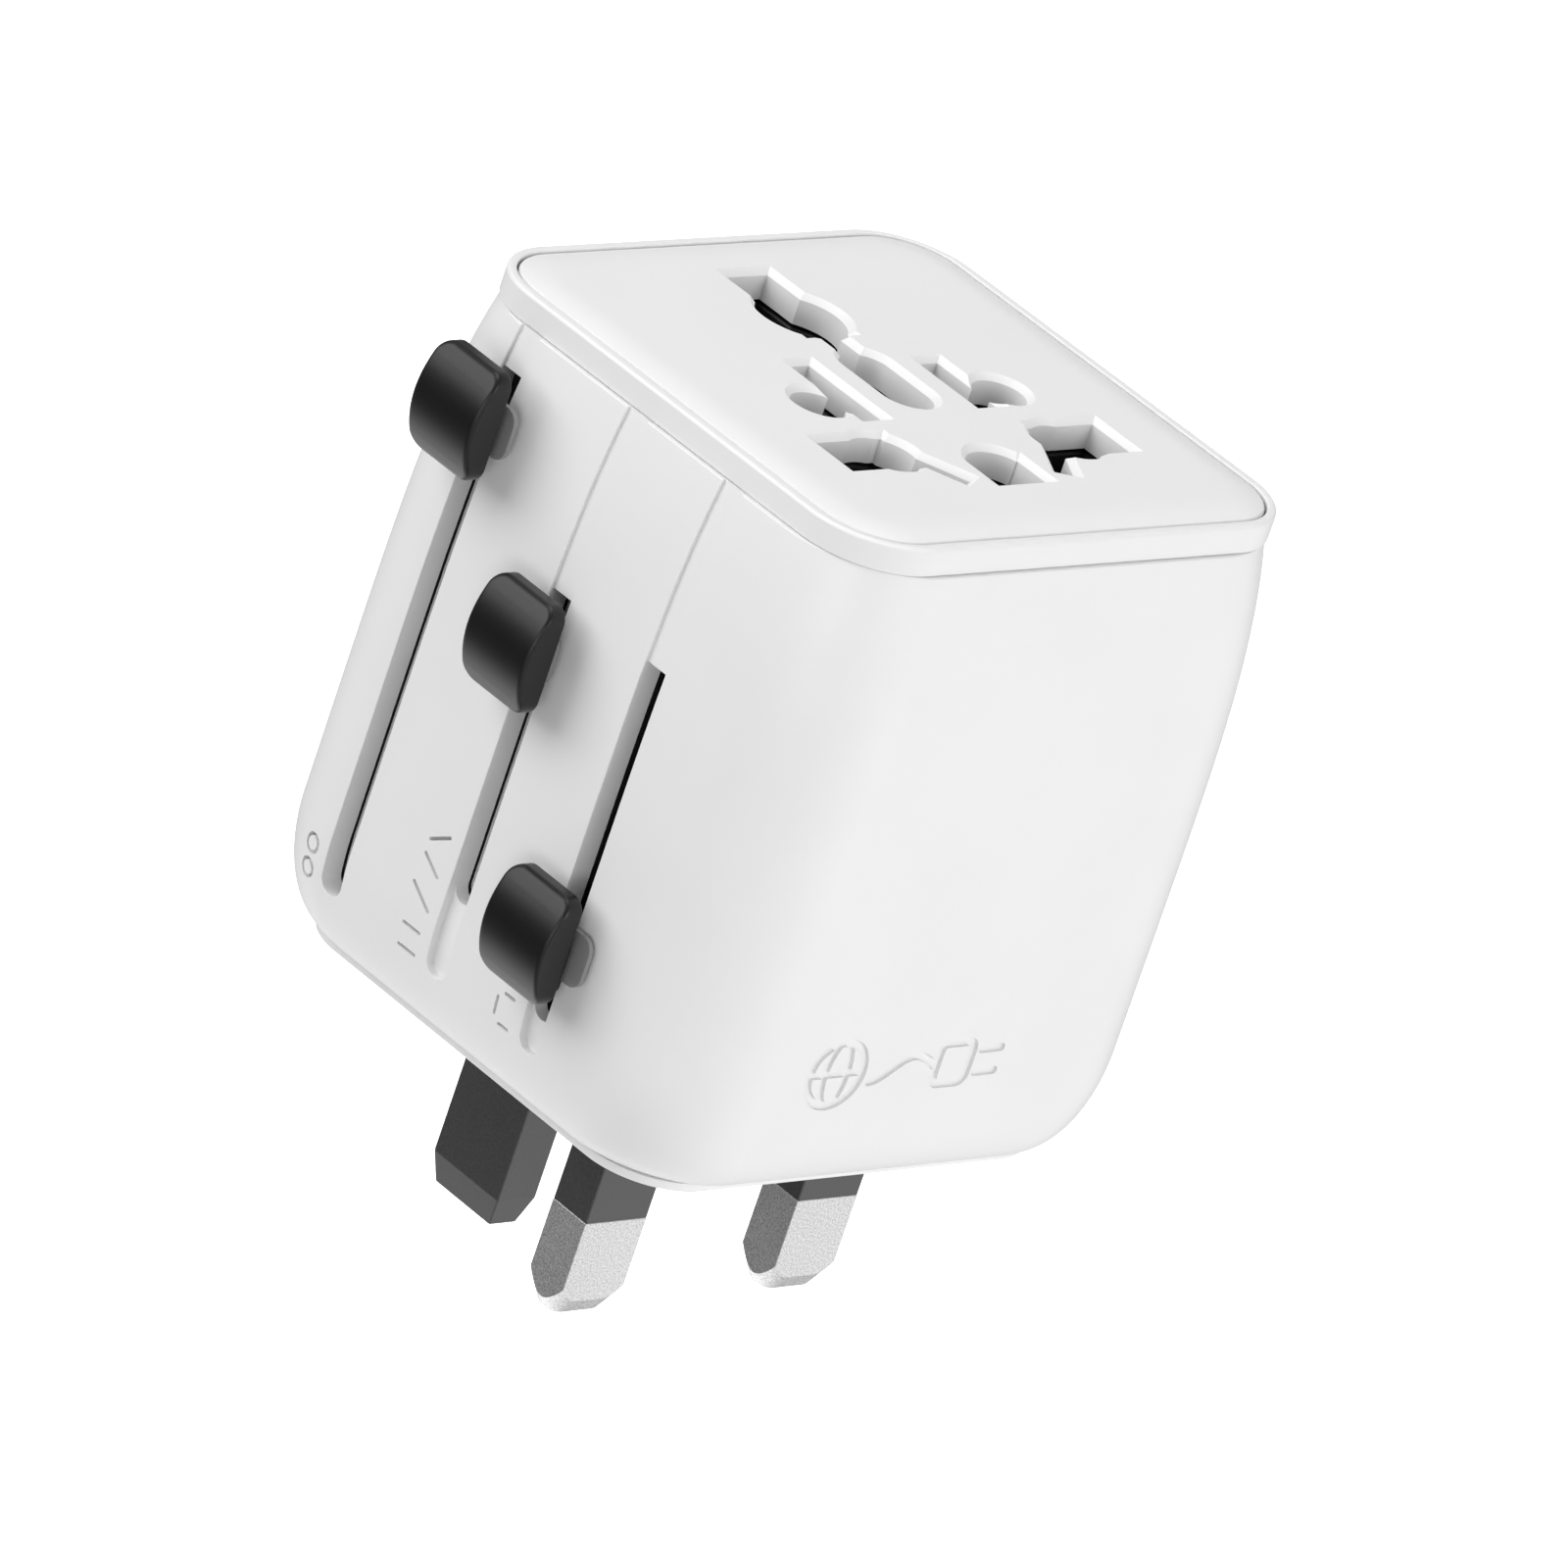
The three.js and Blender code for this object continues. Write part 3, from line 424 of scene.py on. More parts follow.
# Each: name, colour, its drift, roughness, and the grain's size and depth in mm.
WHITE = surface("white_plastic", grey(0.80), 0.008, 0.42, 0.5, 0.0006, specular=0.4)
BLACK = surface("black_plastic", grey(0.011), 0.06, 0.45, 0.12, 0.003, specular=0.25)
KNOB = surface("knob_plastic", grey(0.008), 0.06, 0.34, 0.10, 0.002, specular=0.34)
# The collar is the knob's black plastic, painted mid grey: a painted lit tone.
COLLAR_PAINTED_LIGHT = surface("collar_painted_light", grey(0.28), 0.06, 0.55, 0.12, 0.003, specular=0.2)
SLEEVE = surface(
    "sleeve_plastic", grey(0.022), 0.08, 0.46, 0.18, 0.014, specular=1.0, speckle=0.4)
NICKEL = surface("nickel", grey(0.65), 0.03, 0.46, 0.15, 0.008, metallic=1.0, speckle=0.32)
BRASS = surface(
    "brass", (0.62, 0.50, 0.27), 0.06, 0.33, 0.3, 0.003, metallic=1.0, stretch=(1, 1, 0.15))
STEEL = surface(
    "steel", (0.50, 0.51, 0.53), 0.05, 0.3, 0.25, 0.002, metallic=1.0, stretch=(1, 1, 0.2))
CERAMIC = surface("ceramic", (0.80, 0.76, 0.66), 0.05, 0.45, 0.25, 0.004)
BOARD = surface("board", (0.26, 0.14, 0.045), 0.18, 0.7, 0.35, 0.02, stretch=(0.25, 1, 1))
# The guide's white plastic, with painted shade on its faces that look toward the slots.
GUIDE_PAINTED_SHADE = painted_track_shade(WHITE)


# ------------------------------------------------------------------------------ placing


def place(obj, body, slot, material, *nodes, lift=0.0, sharp=32.0, weighted=True):
    """Turns a finished piece into metres and fixes it to its body."""
    for vertex in obj.data.vertices:
        vertex.co = (vertex.co + Vector((0, 0, lift))) * MM
    obj.data.materials.clear()
    obj.data.materials.append(material)
    if weighted:
        obj.data.shade_smooth()
        obj.data.set_sharp_from_angle(angle=radians(sharp))
        modifier = obj.modifiers.new("normals", "WEIGHTED_NORMAL")
        modifier.keep_sharp = True
    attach(obj, body)
    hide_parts(*nodes)
    return obj


# -------------------------------------------------------------------------------- shell


def wall(z, full, drop):
    """Half width of the shell's outside at height z."""
    up = max(0.0, (z - CROWN_Z) / CROWN_RISE)
    down = min(1.0, max(0.0, (FOOT_Z + FOOT_RISE - z) / FOOT_RISE))
    return full - drop * up ** CROWN_POWER - FOOT_DROP * (1 - sqrt(1 - down * down))


def wall_x(z):
    return wall(z, SHELL_HX, TOP_DROP_X)


def wall_y(z):
    return wall(z, SHELL_HY, TOP_DROP_Y)


def flank(across, half, other):
    """How far out the plan's straight side or its round corner is at a place across it."""
    beyond = abs(across) - (other - SHELL_R)
    if beyond <= 0:
        return half
    return half - SHELL_R + sqrt(max(0.0, SHELL_R ** 2 - beyond ** 2))


def on_left(y, z, depth):
    """A point under the slider face, at a depth below its surface."""
    return (-flank(y, wall_x(z), wall_y(z)) + depth, y, z)


def on_front(x, z, depth):
    """The same under the front face."""
    return (x, -flank(x, wall_y(z), wall_x(z)) + depth, z)


def heights(low, high, pitch):
    """Even heights from low to high, about one pitch apart."""
    count = max(1, round((high - low) / pitch))
    return [low + (high - low) * i / count for i in range(count + 1)]


def shell_levels():
    """Heights of the shell's outlines, closer together where its walls curve."""
    levels = []
    for step in range(FOOT_STEPS):
        levels.append(FOOT_Z + FOOT_RISE * (1 - cos(step / FOOT_STEPS * pi / 2)))
    levels += heights(FOOT_Z + FOOT_RISE, CROWN_Z, 2.5)[:-1]
    return levels + heights(CROWN_Z, SHELL_TOP - 0.3, 1.1)


def slot_cutter(y, z0, z1, floor, lip=0.1):
    """A cutter with a round bottom and a square top that goes `floor` deep and opens out
    at the surface by a small rounding."""
    stations = [
        (-0.6, lip), (0.0, lip), (lip * 0.08, lip - lip * 0.62),
        (lip * 0.38, lip - lip * 0.93), (lip, 0.0), (floor, 0.0)]
    low = z0 + SLOT_HALF
    rings = []
    for depth, grow in stations:
        half = SLOT_HALF + grow
        right = []
        for i in range(11):
            a = -pi / 2 + 1e-3 + i * pi / 20
            right.append((y + half * cos(a), low + half * sin(a)))
        right += [(y + half, z) for z in heights(low, z1 + grow, 1.0)[1:]]
        left = [(2 * y - across, z) for across, z in reversed(right)]
        rings.append([on_left(across, z, depth) for across, z in right + left])
    return skin("slot", rings)


def ribbon(path, width, onto, depth, closed=False):
    """A cutter that runs along a path on the shell's surface, with round ends."""
    rungs = []
    count = len(path)
    for i, (u, v) in enumerate(path):
        before = path[(i - 1) % count] if closed or i else path[0]
        after = path[(i + 1) % count] if closed or i + 1 < count else path[-1]
        du, dv = after[0] - before[0], after[1] - before[1]
        length = hypot(du, dv)
        rungs.append((u, v, du / length, dv / length, width / 2))
    if not closed:
        for end, way in ((0, -1), (-1, 1)):
            u, v, du, dv, half = rungs[end]
            for a in (25, 50, 70, 85):
                step = way * half * sin(radians(a))
                extra = (u + du * step, v + dv * step, du, dv, half * cos(radians(a)))
                rungs.insert(0 if way < 0 else len(rungs), extra)
    rings = []
    for u, v, du, dv, half in rungs:
        left = (u - dv * half, v + du * half)
        right = (u + dv * half, v - du * half)
        rings.append([
            onto(*left, -CUTTER_OUT), onto(*right, -CUTTER_OUT),
            onto(*right, depth), onto(*left, depth)])
    return skin("mark", rings, around=closed)


def region_marks():
    """Pin pictograms beside the slots, reading upward: two round pins for Europe, two
    blades and two slanted blades for America and Australia, three bars for Britain."""
    thin, deep = 0.3, 0.7
    strokes = []
    for z in (6.1, 8.2):
        strokes.append((arc(18.1, z, 0.72, 0, 345, 20), True))
    for z in (6.0, 7.9):
        strokes.append(([(4.7, z), (6.6, z)], False))
    strokes.append(([(4.5, 9.9), (6.8, 11.3)], False))
    for z, lean in ((13.3, 0.55), (15.6, -0.55)):
        strokes.append(([(4.7, z - lean), (6.6, z + lean)], False))
    for z in (6.0, 8.6):
        strokes.append(([(-6.6, z), (-5.6, z)], False))
    strokes.append(([(-4.9, 6.6), (-4.9, 8.0)], False))
    return [ribbon(path, thin, on_left, deep, closed) for path, closed in strokes]


def front_marks():
    """A plain pictogram: a globe, a lead and a plug with two pins."""
    bold, fine, deep = 0.72, 0.55, 0.3
    cx, cz, r = -9.6, 11.7, 2.75
    paths = [
        (arc(cx, cz, r, 0, 350, 35), bold, True),
        (arc(cx, cz, 1.15, 0, 350, 35, ry=r), fine, True),
        ([(cx - r, cz), (cx + r, cz)], fine, False),
    ]
    start, length, swing = cx + r + 1.0, 6.4, 0.95
    lead = []
    for step in range(25):
        t = step / 24
        lead.append((start + length * t, cz - swing * cos(1.5 * pi * t)))
    paths.append((lead, bold, False))
    left, high, r = start + length + 0.4, 1.75, 0.7
    right = left + 3.4
    body = []
    for x, z, turn in (
            (right - r, cz + high - r, 0), (left + r, cz + high - r, 90),
            (left + r, cz - high + r, 180), (right - r, cz - high + r, 270)):
        body += arc(x, z, r, turn, turn + 90, 5)
    paths.append((body, bold, True))
    for side in (-1, 1):
        paths.append(([(right + 0.9, cz + side), (right + 2.9, cz + side)], bold, False))
    return [ribbon(path, width, on_front, deep, closed) for path, width, closed in paths]


def outer_normal(x, y, z):
    """Distance outside the shell's drawn surface, and the surface's direction there."""
    hx, hy = wall_x(z), wall_y(z)
    ax, ay = abs(x) - (hx - SHELL_R), abs(y) - (hy - SHELL_R)
    if ax > 0 and ay > 0:
        away = hypot(ax, ay)
        gap, nx, ny = away - SHELL_R, ax / away, ay / away
    elif ax - SHELL_R > ay - SHELL_R:
        gap, nx, ny = ax - SHELL_R, 1.0, 0.0
    else:
        gap, nx, ny = ay - SHELL_R, 0.0, 1.0
    step = 0.01
    lean_x = (wall_x(z + step) - wall_x(z - step)) / (2 * step)
    lean_y = (wall_y(z + step) - wall_y(z - step)) / (2 * step)
    lean = lean_x * nx + lean_y * ny
    way_x, way_y = (1 if x > 0 else -1), (1 if y > 0 else -1)
    return gap, Vector((nx * way_x, ny * way_y, -lean)).normalized()


def true_normals(mesh):
    """Gives the shell's outside the direction of the surface it was drawn from, so that
    cutting it leaves no trace in its shading. Everything else keeps its own."""
    mesh.shade_smooth()
    mesh.set_sharp_from_angle(angle=radians(32))
    normals = [Vector((0, 0, 0))] * len(mesh.loops)
    deepest, highest = OUTSIDE_GAP
    for polygon in mesh.polygons:
        found = [outer_normal(*mesh.vertices[i].co) for i in polygon.vertices]
        if all(
                deepest < gap < highest and polygon.normal.dot(normal) > OUTSIDE_MATCH
                for gap, normal in found):
            for loop, (gap, normal) in zip(polygon.loop_indices, found):
                normals[loop] = normal
    mesh.normals_split_custom_set([tuple(n) for n in normals])


def body_shell():
    rings = []

    def ring(z, inset, level=None):
        """Adds an outline at z, with the walls' widths at that or another level."""
        level = z if level is None else level
        hx, hy = wall_x(level) - inset, wall_y(level) - inset
        rings.append(at(rounded(hx, hy, SHELL_R - inset, SHELL_STEPS), z))

    for out, z in corner((0, SHELL_BOTTOM), 0.06, OUT, UP, 3):
        ring(z, -out, FOOT_Z)
    for z in shell_levels()[1:]:
        ring(z, 0.0)
    for out, z in corner((0, SHELL_TOP), 0.14, UP, IN, 4)[1:]:
        ring(z, -out)
    for out, z in corner((-WALL, SHELL_TOP), 0.12, IN, DOWN, 2):
        ring(z, -out)
    for z in reversed(shell_levels()[1:-1]):
        ring(z, WALL)
    ring(SHELL_BOTTOM, WALL, FOOT_Z)
    shell = skin("body_shell", rings, around=True)

    posts = []
    for x, y in POSTS.values():
        posts.append(turned("post", [
            (POST_R - 0.2, CARRIAGE_Z[0]), (POST_R, CARRIAGE_Z[0] + 0.2),
            (POST_R, POST_TOP - 0.3), (POST_R - 0.3, POST_TOP)], x, y))
        low, high = sorted((y, RIB_END if y > 0 else -RIB_END))
        posts.append(box(x - RIB_HALF, x + RIB_HALF, low, high, RIB_FOOT, POST_TOP - 0.4))
    boolean(shell, posts, "UNION")

    tools = [cylinder(x, y, PILOT_R, 0, SCREW_TIP + 1, 8) for x, y in POSTS.values()]
    for slider in SLIDERS.values():
        y, z0, z1 = slider["y"], slider["z0"], slider["z1"]
        tools.append(slot_cutter(y, z0, z1, CUT_DEPTH))
        tools.append(slot_cutter(y, z1 - 3.0, SHELL_TOP + 1.0, GROOVE_DEPTH, 0.06))
        if slider["low"]:
            tools.append(slot_cutter(y, slider["low"], z0 + 2.0, LOW_DEPTH))
    boolean(shell, tools + region_marks() + front_marks())
    true_normals(shell.data)
    place(shell, "housing", "white_plastic", WHITE, "body_shell", weighted=False)


# ---------------------------------------------------------------------- rim and sockets


def top_rim():
    well = tuple(size + PLATE_GAP for size in PLATE)
    bore = tuple(size + GAP for size in CARRIER)
    ledge = PLATE_UNDER - GAP
    levels = band(RIM, RIM_FOOT, 0.1, OUT, UP)
    levels += band(RIM, RIM_TOP, 0.3, UP, IN, 5)
    levels += band(well, RIM_TOP, 0.12, IN, DOWN, 3)
    levels += band(well, ledge, 0.1, DOWN, IN, 2)
    levels += band(bore, ledge, 0.1, IN, DOWN, 2)
    levels += [
        (bore, 0, RIM_SPIGOT_Z), (RIM_SPIGOT, -0.3, RIM_SPIGOT_Z),
        (RIM_SPIGOT, 0, RIM_SPIGOT_Z + 0.3), (RIM_SPIGOT, 0, RIM_FOOT)]
    place(swept("top_rim", levels), "housing", "white_plastic", WHITE, "top_rim")


# The socket openings: round ones as (x, y, r), straight ones as (x, y, hx, hy, turn) and
# the centre slot as (x, y, hx, hy, corner radius).
ROUNDS = [(0, 10.9, 3.7), (0, -12.65, 2.65)]
STRAIGHTS = [(0, 12.7, 2.35, 5.0, 0), (0, 6.4, 1.05, 2.2, 0), (0, -13.6, 2.65, 1.8, 0)]
for way in (-1, 1):
    ROUNDS += [(way * 9.47, -1.95, 2.22), (way * 9.5, -9.73, 2.85)]
    STRAIGHTS += [(way * 6.36, -0.45, 1.15, 4.45 if way < 0 else 3.65, 0)]
    STRAIGHTS += [(way * 11.1, -9.55, 3.55, 2.35, 0), (way * 7.2, -11.1, 0.75, 4.1, -way * 30)]
CENTRE = (0, 0.75, 2.25, 4.55, 2.2)


def openings(z0, z1, chamfer):
    """Cutters for every opening, which widen by a chamfer just under the top."""
    stations = [(z0, 0.0), (z1 - chamfer, 0.0), (z1, chamfer), (z1 + 0.5, chamfer + 0.5)]
    tools = []
    for x, y, r in ROUNDS:
        tools.append(turned("opening", [(r + grow, z) for z, grow in stations], x, y, 14))
    for x, y, hx, hy, turn in STRAIGHTS:
        tools.append(skin("opening", [
            at(rounded(hx + grow, hy + grow, 0.01, 1, 1, x, y, radians(turn)), z)
            for z, grow in stations]))
    x, y, hx, hy, r = CENTRE
    tools.append(skin("opening", [
        at(rounded(hx + grow, hy + grow, r + grow, 12, 1, x, y), z) for z, grow in stations]))
    return tools


def socket_plate():
    levels = [(CARRIER, 0, PARTING_Z), (CARRIER, 0, PLATE_UNDER)]
    levels += band(PLATE, PLATE_UNDER, 0.1, OUT, UP, 2)
    for inset, under in ((0, 0.62), (0.05, 0.5), (0.17, 0.38)):
        levels.append((PLATE, -inset, PLATE_TOP - under))
    for step in range(1, 13):
        s = step / 12
        out = -PLATE_BORDER - PLATE_DOME_REACH * s
        levels.append((PLATE, out, PLATE_TOP - PLATE_DOME * (1 - s) ** 2.2))
    plate = stacked("socket_plate", levels)
    boolean(plate, openings(PARTING_Z - 1, PLATE_TOP, 0.5))
    place(plate, "housing", "white_plastic", WHITE, "socket_plate", sharp=25)


def contact_carrier():
    low, high = CARRIER_Z
    levels = band(CARRIER, low, 0.3, OUT, UP) + band(CARRIER, high, 0.3, UP, IN)
    carrier = stacked("contact_carrier", levels)
    boolean(carrier, openings(low - 1, high, 0.15))
    place(carrier, "housing", "black_plastic", BLACK, "contact_carrier")


# --------------------------------------------------------------------------------- base


def base_plate():
    levels = band(BASE, 0.0, 0.12, OUT, UP, 3) + band(BASE, FLANGE, 0.05, UP, IN, 2)
    levels += [
        (BASE_SPIGOT, 0, FLANGE), (BASE_SPIGOT, 0, BASE_TOP - 0.3),
        (BASE_SPIGOT, -0.3, BASE_TOP)]
    plate = stacked("base_plate", levels)

    def opening(x, y, hx, hy, turn=0.0, r=0.3):
        """A cutter with room round a pin, which widens by a chamfer underneath."""
        stations = [(-0.5, 0.75), (0.0, 0.25), (0.25, 0.0), (BASE_TOP + 1, 0.0)]
        return skin("opening", [
            at(rounded(hx + GAP + out, hy + GAP + out, r + out, 4, 1, x, y, turn), z)
            for z, out in stations])

    tools = [opening(0, UK_EARTH["y"], UK_EARTH["hx"], UK_EARTH["hy"])]
    for way in (-1, 1):
        tools.append(opening(way * UK_PIN["x"], UK_PIN["y"], UK_PIN["hx"], UK_PIN["hy"]))
        r = EU_PIN["r"]
        tools.append(opening(way * EU_PIN["x"], EU_PIN["y"], r, r, 0.0, r + GAP))
        x = way * US_BLADE["x"]
        tools.append(cylinder(x, 0, US_BLADE["stem"] + GAP, BASE_TOP - 0.5, BASE_TOP + 1))
        for step in range(7):
            turn = radians(-way * US_BLADE["twist"] * step / 6)
            tools.append(opening(x, 0, US_BLADE["hx"], US_BLADE["hy"], turn))
    head = SCREW_HEAD + FIT
    sink = [(head + 0.65, -0.5), (head + 0.15, 0.0), (head, 0.15), (head, 1.25)]
    for x, y in POSTS.values():
        tools.append(cylinder(x, y, PILOT_R, -1, BASE_TOP + 1, 8))
        tools.append(turned("sink", sink, x, y))
    boolean(plate, tools)
    place(plate, "housing", "white_plastic", WHITE, "base_plate")


def base_screws():
    """Pan-head screws with a cross recess, sunk in the base plate."""
    profile = [
        (0.6, 0.25), (1.2, 0.28), (1.5, 0.36), (SCREW_HEAD, 0.55), (SCREW_HEAD, 0.85),
        (1.6, SCREW_HEAD_END), (SCREW_SHANK, SCREW_HEAD_END)]
    root = SCREW_SHANK - THREAD_DEPTH
    z = THREAD_START
    while z < SCREW_TIP - THREAD_START:
        profile += [
            (SCREW_SHANK, z), (root, z + 0.22), (root, z + 0.4), (SCREW_SHANK, z + 0.62)]
        z += THREAD_PITCH
    profile += [(root, SCREW_TIP - 1), (0.1, SCREW_TIP)]
    long, narrow, recess = CROSS
    for label, (x, y) in POSTS.items():
        screw = turned("base_screw_" + label, profile, x, y, 6)
        boolean(screw, [
            box(x - a, x + a, y - b, y + b, -0.2, recess)
            for a, b in ((long, narrow), (narrow, long))])
        place(screw, "housing", "steel", STEEL, "base_screw_" + label)


# -------------------------------------------------------------------------------- knobs


def cap_face(z):
    """How far out the cap's face is at a height z from its middle."""
    return KNOB_EDGE + (KNOB_CROWN - KNOB_EDGE) * (1 - (z / KNOB_HZ) ** 2)


def knob_cap(slider):
    """A knob with a face that is crowned along the slot, on the neck that holds it off the
    body."""
    y, zc = slider["y"] + slider["aside"], slider["knob"]
    rings = []

    def ring(inset, x=None, sink=0.0):
        """Adds an outline at x, or else `sink` under the crowned face."""
        plan = rounded(KNOB_HZ - inset, KNOB_HY - inset, KNOB_R - inset, 10, 16)
        rings.append([
            (cap_face(z) + sink if x is None else x, y + across, zc + z)
            for z, across in plan])

    for out, x in corner((0, KNOB_BACK), KNOB_ROUND, OUT, DOWN, 4):
        ring(-out, x)
    ring(0.0, sink=KNOB_FILLET + 0.1)
    for step in range(7):
        a = step / 6 * pi / 2
        ring(KNOB_FILLET * (1 - cos(a)), sink=KNOB_FILLET * (1 - sin(a)))
    for inset in (0.5, 0.7, 1.0):
        ring(inset)
    cap = skin("cap", rings)

    tongue = zc - slider["drop"]
    half = TONGUE_HEIGHT / 2 + NECK[1]
    rings = []
    for x, grow in (
            (KNOB_BACK - 0.4, 0.25), (KNOB_BACK, 0.2), (KNOB_BACK + 0.2, 0.0), (NECK_END, 0.0)):
        plan = rounded(half + grow, NECK[0] + grow, 0.5, 5)
        rings.append([(x, slider["y"] + across, tongue + z) for z, across in plan])
    return boolean(cap, [skin("neck", rings)], "UNION")


def collar_plate(name, slider):
    """The thin plate behind a knob, which runs on the body."""
    y, mid = slider["y"], slider["knob"] - COLLAR_DROP
    rings = []
    for x, grow in (
            (-25.66, -0.08), (-25.74, 0.0), (-26.06, 0.0), (-26.12, -0.03), (-26.14, -0.09)):
        plan = rounded(COLLAR_HALF + grow, slider["collar"] + grow, COLLAR_R + grow, 6)
        rings.append([(x, y + across, mid + z) for z, across in plan])
    return skin(name, rings)


def tongue_pocket(slider):
    """A cutter for the pocket that the carriage's tongue sits in."""
    y, z = slider["y"], slider["knob"] - slider["drop"]
    half_y, half_z = TONGUE_HALF + FIT, TONGUE_HEIGHT / 2 + FIT
    return box(TONGUE_TIP - GAP, POCKET_END, y - half_y, y + half_y, z - half_z, z + half_z)


def knobs():
    for label, slider in SLIDERS.items():
        cap = boolean(knob_cap(slider), [tongue_pocket(slider)])
        cap.name = label + "_knob_cap"
        collar = collar_plate(label + "_knob_collar", slider)
        boolean(collar, [tongue_pocket(slider)])
        lift = slider["lift"]
        place(cap, slider["body"], "knob_plastic", KNOB, label + "_knob", lift=lift)
        # The collar takes the knob plastic painted mid grey, a painted lit tone.
        place(collar, slider["body"], "knob_plastic", COLLAR_PAINTED_LIGHT, label + "_knob", lift=lift)


# --------------------------------------------------------------------------------- pins


def uk_pins():
    """The British line and neutral pins: a nose with a conical point, and a slim core that
    runs up inside the sleeve."""
    hx, hy, tip, end = UK_PIN["hx"], UK_PIN["hy"], UK_PIN["tip"], UK_PIN["sleeve"]
    y = UK_PIN["y"]
    (wide, wide_growth), (thick, thick_growth) = UK_POINT
    core_x, core_y = UK_CORE
    for label, way in (("neutral", -1), ("live", 1)):
        x = way * UK_PIN["x"]
        rings = []
        for z, inset in ((tip, 0), (end - 0.04, 0), (end, 0.04)):
            rings.append(at(rounded(hx - inset, hy - inset, 0.08, 5, 1, x, y), z))
        pin = skin("uk_" + label + "_pin", rings)
        rings = []
        for rise, shrink in (
                (0.0, 0.3), (0.04, 0.14), (0.12, 0.04), (0.24, 0.0), (4.5, 0.0), (12.0, -10.0)):
            across = wide + wide_growth * rise - shrink
            along = thick + thick_growth * rise - shrink
            rings.append(at(rounded(across, along, along, 16, 1, x, y), tip + rise))
        boolean(pin, [skin("point", rings)], "INTERSECT")
        core = box(
            x - core_x, x + core_x, y - core_y, y + core_y,
            end - 0.5, CARRIAGE_Z[1] + 2.6, 0.15)
        boolean(pin, [core], "UNION")
        place(pin, "uk_slider", "nickel", NICKEL, "uk_" + label + "_pin", sharp=24)

        outer, inner = (hx, hy, 0.16), (core_x + FIT, core_y + FIT, 0.2)
        rings = []
        for (a, b, r), out, z in (
                (inner, 0, end + 0.01), (outer, -0.04, end + 0.01), (outer, 0, end + 0.05),
                (outer, 0, PIN_ROOT), (inner, 0, PIN_ROOT)):
            rings.append(at(rounded(a + out, b + out, r, 5, 1, x, y), z))
        sleeve = skin("uk_" + label + "_sleeve", rings, around=True)
        place(sleeve, "uk_slider", "sleeve_plastic", SLEEVE, "uk_" + label + "_sleeve")


def uk_earth_pin():
    y, hx, hy, tip = UK_EARTH["y"], UK_EARTH["hx"], UK_EARTH["hy"], UK_EARTH["tip"]
    rings = []
    for z, inset in (
            (tip, 0.68), (tip + 0.06, 0.6), (tip + 2.42, 0.02), (tip + 2.58, 0.0),
            (PIN_ROOT, 0.0)):
        rings.append(at(rounded(hx - inset, hy - inset, 0.16, 5, 1, 0, y), z))
    pin = skin("uk_earth_pin", rings)
    half = UK_EARTH["stem"]
    stem = box(-half, half, y - half, y + half, PIN_ROOT - 0.5, CARRIAGE_Z[1] + 0.8, 0.1)
    boolean(pin, [stem], "UNION")
    place(pin, "uk_slider", "sleeve_plastic", SLEEVE, "uk_earth_pin")


def us_blades():
    """The American blades, drawn with the plug out and lifted to where they rest."""
    hx, hy, tip = US_BLADE["hx"], US_BLADE["hy"], US_BLADE["tip"]
    r, lift = US_BLADE["stem"], SLIDERS["us"]["lift"]
    for label, way in (("left", -1), ("right", 1)):
        x = way * US_BLADE["x"]
        rings = []
        for z, thin, narrow in (
                (tip, 0.5, 1.25), (tip + 0.1, 0.4, 1.0), (tip + 0.5, 0.24, 0.5),
                (tip + 1.1, 0.05, 0.1), (tip + 1.5, 0, 0), (PIN_ROOT, 0, 0)):
            rings.append(at(rounded(hx - thin, hy - narrow, 0.12, 4, 1, x, 0), z))
        blade = skin("us_blade_" + label, rings)
        stem = turned("stem", [(r, 1.85), (r, 7.7), (r - 0.2, STEM_END)], x)
        boolean(blade, [stem], "UNION")
        body = label + "_blade"
        place(blade, body, "nickel", NICKEL, "us_blade_" + label, lift=lift)


def eu_pins():
    """The European pins with their sleeves, drawn with the plug out and lifted too."""
    r, tip, end, core, outer = (EU_PIN[key] for key in ("r", "tip", "sleeve", "core", "sleeve_r"))
    y, lift = EU_PIN["y"], SLIDERS["eu"]["lift"]
    for label, way in (("left", -1), ("right", 1)):
        x = way * EU_PIN["x"]
        profile = []
        for step in range(11):
            a = step / 10 * pi / 2
            profile.append((max(r * sin(a), 0.02), tip + r - r * cos(a)))
        profile += [
            (r, end - 0.1), (r - 0.1, end), (core, end), (core, 7.7), (core - 0.2, STEM_END)]
        pin = turned("eu_pin_" + label, profile, x, y)
        place(pin, "eu_slider", "nickel", NICKEL, "eu_pin_" + label, lift=lift)
        rings = []
        for radius, z in (
                (core + FIT, end + 0.06), (outer - 0.1, end + 0.06), (outer, end + 0.16),
                (outer, PIN_ROOT), (core + FIT, PIN_ROOT)):
            rings.append(at(rounded(radius, radius, radius, 12, 1, x, y), z))
        sleeve = skin("eu_sleeve_" + label, rings, around=True)
        place(sleeve, "eu_slider", "sleeve_plastic", SLEEVE, "eu_sleeve_" + label, lift=lift)


# ----------------------------------------------------- pieces that keep their CAD shape

EASED = 0.12
